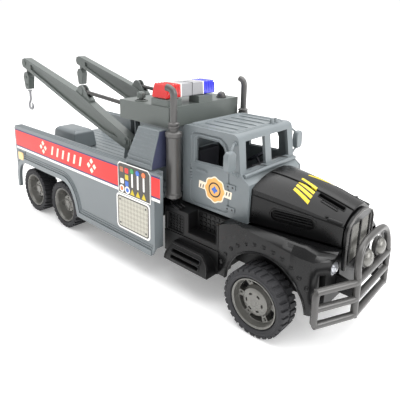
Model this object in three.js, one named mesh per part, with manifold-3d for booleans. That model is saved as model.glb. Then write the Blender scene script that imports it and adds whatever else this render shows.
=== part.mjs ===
// Toy tow truck with twin wrecker booms, friction motor and six wheels.
// Millimetres, +Z up, +X towards the bonnet, +Y towards the truck's left side.
import * as THREE from 'three';
import { mergeVertices } from 'three/addons/utils/BufferGeometryUtils.js';
import Module from 'manifold-3d';

const wasm = await Module();
wasm.setup();

// ---- driving dimensions -------------------------------------------------
const gap = 0.3;                 // running gap between neighbouring pieces
const wall = 2.2;                // moulded plastic wall
const frontAxleX = 131;
const midAxleX = -84;
const rearAxleX = -139;
const tyreRadius = 22;
const tyreWidth = 16;
const tyreOuterY = 55;           // outer side wall of every tyre
const rimRadius = 16.2;
const axleRadius = 2;
const axleZ = tyreRadius;
const halfWidth = 57.5;          // outer face of the bed sides and fenders

const bedRearX = -167;
const bedFrontX = 46.5;
const bandFrontX = 53;           // the upper band runs on past the lower panel
const skirtZ = 21;
const railZ = 85.5;
const railInnerY = 49;
const deckZ = 66;
const deckThickness = 4;
const archTopZ = 49.3;

const towerRearX = -13;
const towerFrontX = 43;
const towerHalfWidth = 40;
const towerBottomZ = 114.3;
const towerTopZ = 129;
const pedestalHalfWidth = 26;

const boomY = 32;                // centre plane of each boom
const boomHalfWidth = 4;
const boomPivot = [-12, 94];     // [x, z]
const boomTip = [-178, 146.3];
const pivotPinRadius = 1.5;
const tipPinRadius = 1.5;
const stayPinRadius = 1.2;
const stayEye = [-76.4, 127.7];
const stayEntry = [towerRearX, 123.4];
const stayRadius = 1.7;
const stayInside = 12;           // length of the stay inside the tower at rest

const cabRearX = 50.5;
const cabFrontX = 109.2;
const cabHalfWidth = 33;
const cabRoofZ = 118;
const cabFloorZ = 60;

const hoodFrontX = 167.8;
const bumperX = 181;
const bumperTube = 2.1;
const stackX = 48.5;
const stackY = 40.5;

// ---- materials ----------------------------------------------------------
const plastic = (color, roughness = 0.5, metalness = 0) =>
  new THREE.MeshStandardMaterial({ color, roughness, metalness });
const bodyGrey = plastic(0xa0a5a8, 0.42);
const towerGrey = plastic(0x74786f, 0.5);
const chassisBlack = plastic(0x2c2c2e, 0.45);
const tubeGrey = plastic(0x949290, 0.35, 0.5);
const stackGrey = plastic(0x68655f, 0.38, 0.4);
const hubSilver = plastic(0x96928a, 0.35, 0.5);
const tyreBlack = plastic(0x2e2e32, 0.8);
const steel = plastic(0xb8bab8, 0.3, 0.9);
const redClear = plastic(0xe62d2d, 0.15);
const blueClear = plastic(0x3a3af0, 0.15);
const seatBlack = plastic(0x1f2024, 0.6);
const gearWhite = plastic(0xe6e2d4, 0.5);

// ---- solids -------------------------------------------------------------
function toSolid(geometry) {
  const bare = geometry.clone();
  bare.deleteAttribute('normal');
  bare.deleteAttribute('uv');
  const merged = mergeVertices(bare, 1e-4);
  return new wasm.Manifold(new wasm.Mesh({
    numProp: 3,
    vertProperties: new Float32Array(merged.attributes.position.array),
    triVerts: new Uint32Array(merged.index.array),
  }));
}

function toGeometry(solid) {
  const mesh = solid.getMesh();
  const geometry = new THREE.BufferGeometry();
  geometry.setAttribute('position', new THREE.BufferAttribute(mesh.vertProperties, 3));
  geometry.setIndex(new THREE.BufferAttribute(mesh.triVerts, 1));
  return geometry;
}

const join = (...geometries) =>
  toGeometry(geometries.map(toSolid).reduce((whole, piece) => whole.add(piece)));
const cut = (base, ...tools) =>
  toGeometry(tools.map(toSolid).reduce((left, tool) => left.subtract(tool), toSolid(base)));

function box(x0, x1, y0, y1, z0, z1) {
  const geometry = new THREE.BoxGeometry(x1 - x0, y1 - y0, z1 - z0);
  return geometry.translate((x0 + x1) / 2, (y0 + y1) / 2, (z0 + z1) / 2);
}

// A subdivided unit block whose points are moved by place(u, v, w), each from 0 to 1.
function mouldedBlock([nx, ny, nz], place) {
  const block = new THREE.BoxGeometry(1, 1, 1, nx, ny, nz).translate(0.5, 0.5, 0.5);
  const points = block.attributes.position;
  for (let i = 0; i < points.count; i += 1) {
    const [x, y, z] = place(points.getX(i), points.getY(i), points.getZ(i));
    points.setXYZ(i, x, y, z);
  }
  return block;
}

const outline = (points) => new THREE.Shape(points.map(([a, b]) => new THREE.Vector2(a, b)));

function extrude(shape, depth, curveSegments = 8) {
  return new THREE.ExtrudeGeometry(shape, { depth, bevelEnabled: false, curveSegments });
}

// A side-view shape (x, z) given thickness from y0 to y1.
const sidePlate = (shape, y0, y1, curveSegments) =>
  extrude(shape, y1 - y0, curveSegments).rotateX(Math.PI / 2).translate(0, y1, 0);

// A front-view shape (y, z) given thickness from x0 to x1.
function crossPlate(shape, x0, x1, curveSegments) {
  const turn = new THREE.Matrix4().makeBasis(
    new THREE.Vector3(0, 1, 0), new THREE.Vector3(0, 0, 1), new THREE.Vector3(1, 0, 0));
  return extrude(shape, x1 - x0, curveSegments).applyMatrix4(turn).translate(x0, 0, 0);
}

// A profile of [radius, distance along the axis] turned about X, Y or Z.
function turned(profile, axis, [x, y, z], segments = 24) {
  const points = profile.map(([radius, along]) => new THREE.Vector2(radius, along));
  const geometry = new THREE.LatheGeometry(points, segments);
  if (axis === 'x') geometry.rotateZ(-Math.PI / 2);
  if (axis === 'z') geometry.rotateX(Math.PI / 2);
  return geometry.translate(x, y, z);
}

const rod = (radius, from, to, axis, centre, segments = 16) =>
  turned([[0, from], [radius, from], [radius, to], [0, to]], axis, centre, segments);

function circle(x, y, radius) {
  const shape = new THREE.Shape();
  shape.absarc(x, y, radius, 0, 2 * Math.PI, false);
  return shape;
}

// A round tube along straight legs or a smooth curve.
function tube(curve, radius, steps, sides = 10) {
  return new THREE.ExtrudeGeometry(circle(0, 0, radius), {
    steps, extrudePath: curve, bevelEnabled: false, curveSegments: sides / 2,
  });
}

function bar(start, end, radius, sides = 10) {
  const line = new THREE.LineCurve3(new THREE.Vector3(...start), new THREE.Vector3(...end));
  return tube(line, radius, 1, sides);
}

// The left-hand twin of a right-hand piece.
function mirrored(geometry) {
  const twin = mergeVertices(geometry.clone().deleteAttribute('uv').deleteAttribute('normal'), 1e-4);
  twin.scale(1, -1, 1);
  const index = twin.index.array;
  for (let i = 0; i < index.length; i += 3) {
    [index[i + 1], index[i + 2]] = [index[i + 2], index[i + 1]];
  }
  return twin;
}

// ---- the truck ----------------------------------------------------------
const truck = new THREE.Group();

function add(name, geometry, material) {
  const mesh = new THREE.Mesh(geometry, material);
  mesh.name = name;
  truck.add(mesh);
}

function addPair(name, geometry, material) {
  add(`${name}_right`, geometry, material);
  add(`${name}_left`, mirrored(geometry), material);
}

// ---- wheels, axles and friction motor -----------------------------------
const gearModule = 0.8;
const gearTeeth = 26;
const pinionTeeth = 8;
const gearCentreDistance = gearModule * (gearTeeth + pinionTeeth) / 2 + 0.15;
const flywheelX = midAxleX + gearCentreDistance;

function tyre(y0, y1) {
  const shoulder = 2.4;
  return [
    [rimRadius + gap, y0 + 1.2], [rimRadius + 1.2, y0], [tyreRadius - shoulder, y0 + 0.4],
    [tyreRadius, y0 + shoulder], [tyreRadius, y1 - shoulder], [tyreRadius - shoulder, y1 - 0.4],
    [rimRadius + 1.2, y1], [rimRadius + gap, y1 - 1.2], [rimRadius + gap, y0 + 1.2],
  ];
}

// Axle with a deep-dished hub pressed on each end: rim, dished web and raised nave.
function wheelset() {
  const outer = tyreOuterY - 1;
  const inner = tyreOuterY - tyreWidth + 1.5;
  const half = [
    [axleRadius, inner], [rimRadius - 1, inner], [rimRadius, inner + 1], [rimRadius, outer],
    [rimRadius - 1.7, outer], [rimRadius - 2.4, outer - 3.4], [8.6, outer - 4.6],
    [8, outer - 1.6], [0, outer - 0.6],
  ];
  const otherHalf = half.map(([radius, along]) => [radius, -along]).reverse();
  return [...otherHalf, ...half];
}

function gear(teeth, pitchRadius, turn) {
  const shape = new THREE.Shape();
  const rootRadius = pitchRadius - 0.95;
  const tipRadius = pitchRadius + 0.6;
  const pitchAngle = (2 * Math.PI) / teeth;
  for (let tooth = 0; tooth < teeth; tooth += 1) {
    const middle = turn + tooth * pitchAngle;
    const flanks = [[rootRadius, -0.3], [tipRadius, -0.13], [tipRadius, 0.13], [rootRadius, 0.3]];
    for (const [radius, share] of flanks) {
      const angle = middle + share * pitchAngle;
      const point = [radius * Math.cos(angle), radius * Math.sin(angle)];
      if (tooth === 0 && share === -0.3) shape.moveTo(...point);
      else shape.lineTo(...point);
    }
  }
  return shape;
}

function drilled(shape, radius) {
  shape.holes.push(new THREE.Path().absarc(0, 0, radius, 0, 2 * Math.PI, true));
  return shape;
}

const wheelAxles = { front: frontAxleX, mid: midAxleX, rear: rearAxleX };
for (const [place, x] of Object.entries(wheelAxles)) {
  add(`wheelset_${place}`, turned(wheelset(), 'y', [x, 0, axleZ], 24), hubSilver);
  addPair(`tyre_${place}`,
    turned(tyre(-tyreOuterY, tyreWidth - tyreOuterY), 'y', [x, 0, axleZ], 32), tyreBlack);
}

const driveGear = drilled(gear(gearTeeth, gearModule * gearTeeth / 2, 0), axleRadius + gap);
add('drive_gear', sidePlate(driveGear, -2, 2).translate(midAxleX, 0, axleZ), gearWhite);

const pinionTurn = Math.PI + Math.PI / pinionTeeth;
const flywheelShaft = sidePlate(gear(pinionTeeth, gearModule * pinionTeeth / 2, pinionTurn), -3, 3);
add('flywheel', join(
  flywheelShaft,
  rod(8.4, 3, 8, 'y', [0, 0, 0], 28),
  rod(1, -9.4, 11.4, 'y', [0, 0, 0], 12),
).translate(flywheelX, 0, axleZ), steel);

// Gearbox tub: closed below and at the sides, open at the top under the chassis plate.
const tubX = [midAxleX - 13.5, flywheelX + 11];
const tubZ = [8.5, 35.5];
add('friction_motor_case', cut(
  box(tubX[0], tubX[1], -11.5, 12.5, tubZ[0], tubZ[1]),
  box(tubX[0] + 1.5, tubX[1] - 1.5, -9.9, 10.9, tubZ[0] + 1.5, tubZ[1] + 1),
  rod(axleRadius + gap, -20, 20, 'y', [midAxleX, 0, axleZ]),
  rod(1 + gap, -20, 20, 'y', [flywheelX, 0, axleZ]),
), chassisBlack);

// ---- chassis ------------------------------------------------------------
const frameHalfWidth = 18;
function chassisFrame() {
  const axleHoles = Object.values(wheelAxles).map((x) =>
    rod(axleRadius + 0.4, -30, 30, 'y', [x, 0, axleZ]));
  const side = outline([
    [-150, 17], [-128, 17], [-120, 34], [-103, 34], [-95, 17], [-73, 17], [-65, 34], [118, 34],
    [121, 17], [141, 17], [146, 30], [178.5, 30], [178.5, 38], [150, 44], [-160, 44], [-160, 34],
  ]);
  const rails = [-1, 1].map((hand) => {
    const middle = hand * (frameHalfWidth - 1.5);
    return sidePlate(side, middle - 1.5, middle + 1.5);
  });
  const plate = box(-160, 150, -frameHalfWidth, frameHalfWidth, 36, 39);
  // Cross bearers carry the deck.
  const bearers = [-150, -40, 30].map((x) =>
    box(x - 4, x + 4, -44, 44, 43.4, deckZ - deckThickness - gap));
  return cut(join(plate, ...rails, ...bearers), ...axleHoles);
}
add('chassis_frame', chassisFrame(), chassisBlack);

// ---- bed ----------------------------------------------------------------
const deck = box(bedRearX, towerFrontX - 2, -railInnerY + gap, railInnerY - gap,
  deckZ - deckThickness, deckZ);
const plankPitch = 7;
const deckGrooves = [];
for (let row = -6; row <= 6; row += 1) {
  const y = row * plankPitch;
  deckGrooves.push(box(bedRearX - 1, towerFrontX, y - 0.4, y + 0.4, deckZ - 0.8, deckZ + 1));
}
add('bed_deck', cut(deck, ...deckGrooves), bodyGrey);

function wheelArch(grow) {
  const arch = new THREE.Shape();
  arch.moveTo(-163.2 - grow, skirtZ - 5);
  arch.lineTo(-162.6 - grow, 30);
  arch.quadraticCurveTo(-161 - grow, archTopZ + grow, -146, archTopZ + grow);
  arch.lineTo(-77, archTopZ + grow);
  arch.bezierCurveTo(-65 + grow, archTopZ + grow, -59 + grow, 38, -57 + grow, 29);
  arch.lineTo(-54 + grow, skirtZ - 5);
  return arch;
}

function bedSide() {
  const panel = outline([
    [bedRearX, skirtZ], [43, skirtZ], [bedFrontX, 27], [bedFrontX, 66], [bandFrontX, 66],
    [bandFrontX, 84.5], [bandFrontX - 7, railZ], [bedRearX + 2, railZ], [bedRearX, railZ - 2],
  ]);
  const skin = sidePlate(panel, -halfWidth, -halfWidth + wall);
  const rail = box(bedRearX, bedFrontX, -halfWidth + 1, -railInnerY, railZ - 5, railZ);
  const innerWall = box(bedRearX, bedFrontX, -railInnerY - wall, -railInnerY, 58, railZ - 4);
  const ends = [
    box(bedRearX, bedRearX + wall, -halfWidth + 1, -railInnerY, 50, railZ - 1),
    box(bedFrontX - wall, bedFrontX, -halfWidth + 1, -railInnerY, 27, railZ - 1),
  ];
  const archLip = sidePlate(wheelArch(4.5), -halfWidth - 0.9, -halfWidth + 1, 10);
  const skirtLip = box(-57, 43, -halfWidth - 0.9, -halfWidth + 1, skirtZ, skirtZ + 4.5);
  const rearTrim = box(bedRearX - 10, bedRearX, -70, -40, 0, 90);
  const belowSkirt = box(-200, 60, -70, -40, 0, skirtZ);
  return cut(
    join(skin, rail, innerWall, ...ends, archLip, skirtLip),
    sidePlate(wheelArch(0), -70, -40, 10), rearTrim, belowSkirt,
  );
}
addPair('bed_side', bedSide(), bodyGrey);

// Fairing that leans inwards beside the mast.
addPair('fairing', mouldedBlock([1, 1, 3], (u, v, w) => {
  const z = railZ + gap + w * 28;
  const rear = 13 + 6 * w;
  const outerY = -56 + Math.max(0, w - 0.15) * 9.5;
  return [rear + u * (41.5 - rear), outerY + v * (-41 - outerY), z];
}), bodyGrey);

// Mast pedestal between the booms, with a dark slot in each flank.
const pedestal = mouldedBlock([1, 1, 1], (u, v, w) => {
  const rear = -30 + 10 * w;
  return [
    rear + u * (towerFrontX - 4 - rear), (2 * v - 1) * pedestalHalfWidth,
    deckZ + gap + w * (towerBottomZ - 2 * gap - deckZ)];
});
const pedestalHollow = box(-15, towerFrontX - 7, -22, 22, 60, 111);
const flankSlots = [[-18, -13], [-11.6, -6]].map(([x0, x1]) => box(x0, x1, -30, 30, 84, 111));
add('mast_pedestal', cut(pedestal, pedestalHollow, ...flankSlots), bodyGrey);

// Low moulded box on the deck behind the mast.
const deckBox = mouldedBlock([1, 1, 2], (u, v, w) => {
  const flare = (1 - w) * 3.5;
  const z = deckZ + gap + Math.min(w * 2, 1) * 15.5 + Math.max(0, w - 0.5) * 4.6;
  const round = Math.max(0, w - 0.5) * 2.4;
  return [
    -140 - flare + round + u * (34 + 2 * flare - 2 * round),
    -25 - flare + round + v * (19 + 2 * flare - 2 * round), z];
});
add('deck_box', deckBox, bodyGrey);

// ---- mast head ----------------------------------------------------------
const staySlots = [-1, 1].map((hand) =>
  box(towerRearX - 1, towerRearX + wall + 1, hand * boomY - 2.6, hand * boomY + 2.6, 118.4, 127.2));
const knobX = 5;
const knobY = -33;
const footTop = towerTopZ + 5.4 - gap;
add('mast_head', cut(
  join(
    box(towerRearX, towerFrontX, -towerHalfWidth, towerHalfWidth, towerBottomZ, towerTopZ),
    box(23.5, 41, -39, -25, towerTopZ - 1, footTop),
    box(32, 42.5, -8, 7.5, towerTopZ - 1, footTop),
  ),
  box(towerRearX + wall, towerFrontX - wall, -towerHalfWidth + wall, towerHalfWidth - wall,
    towerBottomZ - 1, towerTopZ - 1.6),
  rod(2.3, -10, 10, 'z', [knobX, knobY, towerTopZ]),
  ...staySlots,
), towerGrey);

add('siren_button', join(
  turned([[0, 2.4], [3.2, 2.4], [3.2, 5.2], [2.7, 6.3], [1.4, 7], [0, 7.2]], 'z', [0, 0, 0], 20),
  rod(1.9, -3.4, 3, 'z', [0, 0, 0]),
  rod(3, -4.1, -1.6 - gap, 'z', [0, 0, 0]),
).translate(knobX, knobY, towerTopZ), towerGrey);

add('beacon_dome', turned([
  [0, 0], [4.1, 0], [4.1, 1], [3.7, 2.6], [2.6, 4], [1.2, 4.7], [0, 4.9],
], 'z', [35.5, 27, towerTopZ + gap], 20), tubeGrey);

// Light bar: two feet, a grey centre housing and a coloured lens at each end.
const barX = [22, 39];
const barZ = [towerTopZ + 5.4, towerTopZ + 15.4];
function barSection(y0, y1) {
  return crossPlate(outline([[y0, barZ[0]], [y1, barZ[0]], [y1, barZ[1]], [y0, barZ[1]]]),
    barX[0] + 0.8, barX[1] - 0.8);
}
function lens(y0, y1, outerHand) {
  return mouldedBlock([1, 1, 2], (u, v, w) => {
    const side = Math.abs(w - 0.4) * 1.6;
    const endSlope = 2.2 * w;
    const y = outerHand < 0 ? y0 + endSlope + v * (y1 - y0 - endSlope) : y0 + v * (y1 - y0 - endSlope);
    return [barX[0] + side + u * (barX[1] - barX[0] - 2 * side), y, barZ[0] + w * 10];
  });
}
add('lens_red', lens(-38, -23 - gap, -1), redClear);
add('light_bar_housing', barSection(-23, 1), tubeGrey);
add('lens_blue', lens(1 + gap, 15.5, 1), blueClear);

// ---- booms --------------------------------------------------------------
function boom() {
  const [px, pz] = boomPivot;
  const [tx, tz] = boomTip;
  const beam = outline([
    [px + 6.6, pz - 3], [px + 6.6, pz + 2.2], [-39, 109.4], [-80, 126.3], [tx + 1.2, tz + 5.1],
    [tx - 3.8, tz + 3.8], [tx - 5.3, tz], [tx - 3.6, tz - 3.9], [tx + 1, tz - 5.2],
    [-85, 109.6], [-40, 95.3], [px + 2, pz - 7.6],
  ]);
  const nearY = -boomY - boomHalfWidth;
  const farY = -boomY + boomHalfWidth;
  const panel = outline([
    [px - 10, pz + 1], [-41, 106.2], [-82, 122.8], [tx + 13, tz - 0.6],
    [tx + 13, tz - 5.6], [-86, 112.9], [-41, 98.4],
  ]);
  const lug = new THREE.Shape();
  lug.moveTo(-85, 118);
  lug.lineTo(-84, 127.5);
  lug.absarc(stayEye[0], stayEye[1], 5.4, Math.PI * 0.93, Math.PI * 0.1, true);
  lug.lineTo(-62.5, 121);
  lug.lineTo(-62, 112);
  return cut(
    join(sidePlate(beam, nearY, farY), sidePlate(lug, nearY + 1.2, farY - 1.2, 10)),
    sidePlate(panel, nearY - 1, nearY + 1.6),
    sidePlate(panel, farY - 1.6, farY + 1),
    rod(pivotPinRadius + gap, -50, -20, 'y', [px, 0, pz]),
    cut(box(tx - 8, tx + 7, -boomY - 1.6, -boomY + 1.6, tz - 9, tz + 3.2),
      rod(tipPinRadius, -50, -20, 'y', [tx, 0, tz])),
    cut(box(stayEye[0] - 7.5, -60, -boomY - 1.7, -boomY + 1.7, stayEye[1] - 4.6, stayEye[1] + 8),
      rod(stayPinRadius, -50, -20, 'y', [stayEye[0], 0, stayEye[1]])),
  );
}
addPair('boom', boom(), towerGrey);

const pivotHeadY = -boomY - boomHalfWidth - 1.4 - gap;
addPair('boom_pivot_pin', turned([
  [0, pivotHeadY], [2.6, pivotHeadY], [2.6, pivotHeadY + 1.1], [pivotPinRadius, pivotHeadY + 1.1],
  [pivotPinRadius, -pedestalHalfWidth - gap], [0, -pedestalHalfWidth - gap],
], 'y', [boomPivot[0], 0, boomPivot[1]], 20), towerGrey);

// Stay: a ribbed rod pinned at the boom's lug that slides through the slot in the mast head.
function stay() {
  const dx = stayEntry[0] - stayEye[0];
  const dz = stayEntry[1] - stayEye[1];
  const reach = Math.hypot(dx, dz) + stayInside;
  const rings = [[0, -0.6], [1.3, -0.6]];
  const pitch = 6;
  for (let along = 10; along < reach - stayInside - pitch; along += pitch) {
    rings.push([1.3, along], [stayRadius, along + 0.8], [stayRadius, along + 4], [1.3, along + 4.8]);
  }
  rings.push([1.3, reach], [0, reach]);
  const shank = turned(rings.map(([radius, along]) => [radius, Math.max(along, 3)]), 'x', [0, 0, 0], 8);
  const eye = drilled(circle(0, 0, 3.6), stayPinRadius + gap);
  const ring = sidePlate(eye, -1.3, 1.3, 16);
  return join(shank, ring).rotateY(Math.atan2(-dz, dx)).translate(stayEye[0], -boomY, stayEye[1]);
}
addPair('stay', stay(), tubeGrey);

// Hook block hanging from the tip pin, with its open hook.
function hookBlock() {
  const [tx, tz] = boomTip;
  const neck = drilled(circle(0, 0, 3), tipPinRadius + gap);
  const cheek = new THREE.Shape();
  cheek.moveTo(-3.2, -9.8);
  cheek.quadraticCurveTo(0, -8.6, 3.2, -9.8);
  cheek.lineTo(5.7, -14);
  cheek.lineTo(3.4, -26.4);
  cheek.quadraticCurveTo(0, -28, -3.4, -26.4);
  cheek.lineTo(-5.7, -14);
  return join(
    sidePlate(neck, -1.2, 1.2, 14), box(-2, 2, -1.2, 1.2, -12, -2.4),
    sidePlate(cheek, -3.2, 3.2),
  ).translate(tx, -boomY, tz);
}
function hook() {
  const [tx, tz] = boomTip;
  const shankTop = -28.1;
  const ringCentre = -44.6;
  const ringRadius = 3.9;
  const bend = [new THREE.Vector3(0, 0, shankTop), new THREE.Vector3(0, 0, ringCentre + 7.4)];
  for (let step = 0; step <= 9; step += 1) {
    const angle = Math.PI * (0.62 + step * 0.185);
    bend.push(new THREE.Vector3(
      ringRadius * Math.cos(angle), 0, ringCentre + ringRadius * Math.sin(angle)));
  }
  return tube(new THREE.CatmullRomCurve3(bend), 1.25, 26, 8).translate(tx, -boomY, tz);
}
addPair('hook_block', hookBlock(), towerGrey);
addPair('hook', hook(), tubeGrey);

// ---- exhaust stacks -----------------------------------------------------
function exhaustStack() {
  const straight = turned([
    [0, 61.5], [1.8, 61.5], [5.2, 64.4], [6, 64.8], [6, 67.4], [5.4, 67.8], [5.4, 109.4],
    [6.1, 109.8], [6.1, 112.6], [3.4, 113.9], [3.4, 115.6], [4.1, 116], [4.1, 119.4], [2.5, 120],
    [2.5, 137], [0, 137],
  ], 'z', [stackX, -stackY, 0], 16);
  const elbow = new THREE.QuadraticBezierCurve3(
    new THREE.Vector3(stackX, -stackY, 136.6), new THREE.Vector3(stackX, -stackY, 142.6),
    new THREE.Vector3(stackX - 5.4, -stackY - 1.6, 144));
  return join(straight, tube(elbow, 2.45, 5, 12));
}
addPair('exhaust_stack', exhaustStack(), stackGrey);

// ---- cab ----------------------------------------------------------------
function cabOutline(inset) {
  const shape = new THREE.Shape();
  const rear = cabRearX + inset;
  const top = cabRoofZ - inset;
  const floor = inset > 0 ? cabFloorZ - 5 : cabFloorZ;
  shape.moveTo(rear, floor);
  shape.lineTo(rear, top - 4);
  shape.quadraticCurveTo(rear, top, rear + 4, top);
  shape.lineTo(95 - inset, top);
  shape.quadraticCurveTo(99.4 - inset, top, 100 - inset, top - 4.5);
  shape.lineTo(102.4 - inset, 93.2);
  shape.quadraticCurveTo(105 - inset, 88.6, cabFrontX - inset, 86.4);
  shape.lineTo(cabFrontX - inset, floor);
  return shape;
}
const sideWindow = outline([
  [63.4, 93.2], [90.8, 94], [90.2, 104.6], [88.2, 108.6], [84.2, 111.2], [66, 111.4], [63.4, 109.4],
]);
const windscreenPane = outline([[3.6, 93.6], [26.4, 93.6], [25.6, 113], [3.6, 113]]);
const rearPane = outline([[-17, 98], [17, 98], [17, 110], [-17, 110]]);
add('cab_shell', cut(
  sidePlate(cabOutline(0), -cabHalfWidth, cabHalfWidth, 6),
  sidePlate(cabOutline(wall), -cabHalfWidth + wall, cabHalfWidth - wall, 6),
  sidePlate(sideWindow, -40, 40),
  crossPlate(windscreenPane, 94, 110),
  mirrored(crossPlate(windscreenPane, 94, 110)),
  crossPlate(rearPane, 48, 54),
), bodyGrey);

const cabInner = cabHalfWidth - wall - gap;
function seatTub() {
  const x0 = cabRearX + wall + gap;
  const floor = box(x0, cabFrontX - wall - gap, -cabInner, cabInner, 60, 62.5);
  const seats = [-1, 1].flatMap((hand) => {
    const y = hand * 15;
    return [
      box(x0 + 3, x0 + 22, y - 11, y + 11, 62, 74),
      box(x0 + 1, x0 + 7.5, y - 11, y + 11, 73, 99),
    ];
  });
  return join(floor, ...seats);
}
add('cab_seats', seatTub(), seatBlack);

const dashboard = mouldedBlock([2, 1, 1], (u, v, w) => {
  const x = 88 + u * 12;
  const top = 91.5 - 3 * (1 - u);
  return [x, (2 * v - 1) * (cabInner - 0.4), 63 + w * (top - 63)];
});
add('dashboard', dashboard, seatBlack);
const wheelTilt = new THREE.Matrix4().makeRotationY(-0.62);
add('steering_wheel', join(
  new THREE.TorusGeometry(6.6, 0.9, 6, 18),
  box(-6.6, 6.6, -0.9, 0.9, -0.6, 0.6),
  rod(0.9, -5.4, 0, 'z', [0, 0, 0], 10),
).applyMatrix4(wheelTilt).translate(81.5, 15, 90.5), seatBlack);

function mirror() {
  const head = mouldedBlock([1, 2, 2], (u, v, w) => {
    const bulge = 1 - 0.25 * Math.abs(2 * w - 1) ** 2;
    return [
      100 + (u - 0.5) * 4.4, -42 + (v - 0.5) * 9 * bulge, 95.6 + w * 14];
  });
  const arm = bar([99.4, -34 - gap, 92.6], [100, -41, 96.6], 0.8, 8);
  const upper = bar([97.2, -34 - gap, 112.4], [99.8, -40, 107.2], 0.8, 8);
  const feet = [
    box(97.6, 101.2, -34.4, -33 - gap, 90.8, 94.4), box(95.4, 99, -34.4, -33 - gap, 110.6, 113.6)];
  return join(head, arm, upper, ...feet);
}
addPair('mirror', mirror(), bodyGrey);

// ---- bonnet, fenders and nose -------------------------------------------
const hoodRearX = cabFrontX + gap;
function hoodPoint(u, v, w, inset) {
  const across = 2 * v - 1;
  const half = 30.6 - 10.2 * u - inset;
  const edge = 83.6 - 9.6 * u ** 1.2;
  const crown = 91.2 - 10.4 * u ** 1.8;
  const top = edge + (crown - edge) * (1 - Math.abs(across) ** 2.4) - inset;
  const bottom = inset > 0 ? 50 : 61;
  return [
    hoodRearX + inset + u * (hoodFrontX - hoodRearX - 2 * inset),
    across * (half - 1.2 * w), bottom + w * (top - bottom)];
}
const hoodSkin = mouldedBlock([8, 12, 2], (u, v, w) => hoodPoint(u, v, w, 0));
const hoodHollow = mouldedBlock([8, 12, 2], (u, v, w) => hoodPoint(u, v, w, wall));
const hoodSlots = [-1, 1].map((hand) => box(147, 164, hand * 10.6 - 1.2, hand * 10.6 + 1.2, 74, 95));
add('hood', cut(hoodSkin, hoodHollow, ...hoodSlots), chassisBlack);

// A flat side panel with a round wheel arch, and above it a bulging wing top that drops to
// a trough beside the bonnet. The front corner is rounded in plan.
const fenderHalfWidth = 45.3;
const fenderRearX = 96;
const fenderFrontX = 169;
const fenderBottomZ = 23.5;
const troughZ = 60.2;
const archRadius = 28.7;
function fenderOuterY(x) {
  const along = Math.max(0, (x - 152) / (fenderFrontX - 152));
  return -33 - (fenderHalfWidth - 33) * Math.sqrt(Math.max(0, 1 - along ** 2));
}
function fenderInnerY(x) {
  return x < hoodRearX + 0.2 ? -33.4 : -31.6 + 10.2 * (x - hoodRearX) / (hoodFrontX - hoodRearX);
}
function fenderTopZ(x, v) {
  const crease = x < 108 ? 58.5 + (x - 94) * 0.46 : 64.9 - (x - 108) * 0.132;
  const ridge = Math.min(crease + 0.2 + Math.max(0, x - 112) * 0.13, 64.8 - Math.max(0, x - 156) * 0.5);
  const heights = [crease, ridge - 0.6, ridge, troughZ + (ridge - troughZ) * 0.6, troughZ, troughZ, troughZ];
  return heights[Math.round(v * 6)];
}
function fenderBlock(inset) {
  return mouldedBlock([11, 6, 1], (u, v, w) => {
    const x = fenderRearX + inset + u * (fenderFrontX - fenderRearX - 2 * inset);
    const outerY = fenderOuterY(x + (inset > 0 ? 1 : 0)) + inset;
    const innerY = inset > 0 ? -15 : fenderInnerY(x);
    const bottom = inset > 0 ? 10 : fenderBottomZ;
    const y = inset > 0 && v > 0.9 ? innerY : outerY + v * (fenderInnerY(x) - outerY);
    return [x, y, bottom + w * (fenderTopZ(x, v) - inset - bottom)];
  });
}
const fender = cut(
  fenderBlock(0), fenderBlock(wall),
  rod(archRadius, -60, -40, 'y', [frontAxleX, 0, axleZ], 40),
  box(164.5, 180, -60, 0, 10, 49),
  box(90, 180, -33.3, 1, 10, 57.9),
);
addPair('fender', fender, chassisBlack);

// Nose: radiator shell with the mesh panel, and a valance that carries the headlamps.
const grilleHalf = 13.6;
function radiatorShell() {
  const front = new THREE.Shape();
  front.moveTo(-18.4, 45);
  front.lineTo(-19.2, 70);
  front.quadraticCurveTo(-16, 77.5, 0, 79.5);
  front.quadraticCurveTo(16, 77.5, 19.2, 70);
  front.lineTo(18.4, 45);
  const openings = [-1, 1].map((hand) => {
    const y = hand * (1.2 + (grilleHalf - 1.2) / 2);
    const half = (grilleHalf - 1.2) / 2;
    return box(hoodFrontX + 1.3, 180, y - half, y + half, 48, 72);
  });
  return cut(crossPlate(front, hoodFrontX + gap, hoodFrontX + 2.8), ...openings);
}
add('radiator_shell', radiatorShell(), chassisBlack);
const lampY = 21.8;
const lampZ = 46.8;
const valance = crossPlate(outline([
  [-32.8, 24.5], [32.8, 24.5], [32.8, 57.6], [-32.8, 57.6],
]), 160, 166.2);
const lampHoles = [-1, 1].map((hand) => rod(5, 160.6, 170, 'x', [0, hand * lampY, lampZ]));
const railNotches = [-1, 1].map((hand) => box(
  155, 175, hand * (frameHalfWidth - 1.5) - 2, hand * (frameHalfWidth - 1.5) + 2, 29.6, 44.4));
add('nose_valance', cut(valance, ...lampHoles, ...railNotches), chassisBlack);
addPair('headlamp', turned([
  [0, 161], [4.6, 161], [4.6, 165.6], [3.9, 166.8], [2, 167.5], [0, 167.7],
], 'x', [0, -lampY, lampZ], 20), hubSilver);

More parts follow.
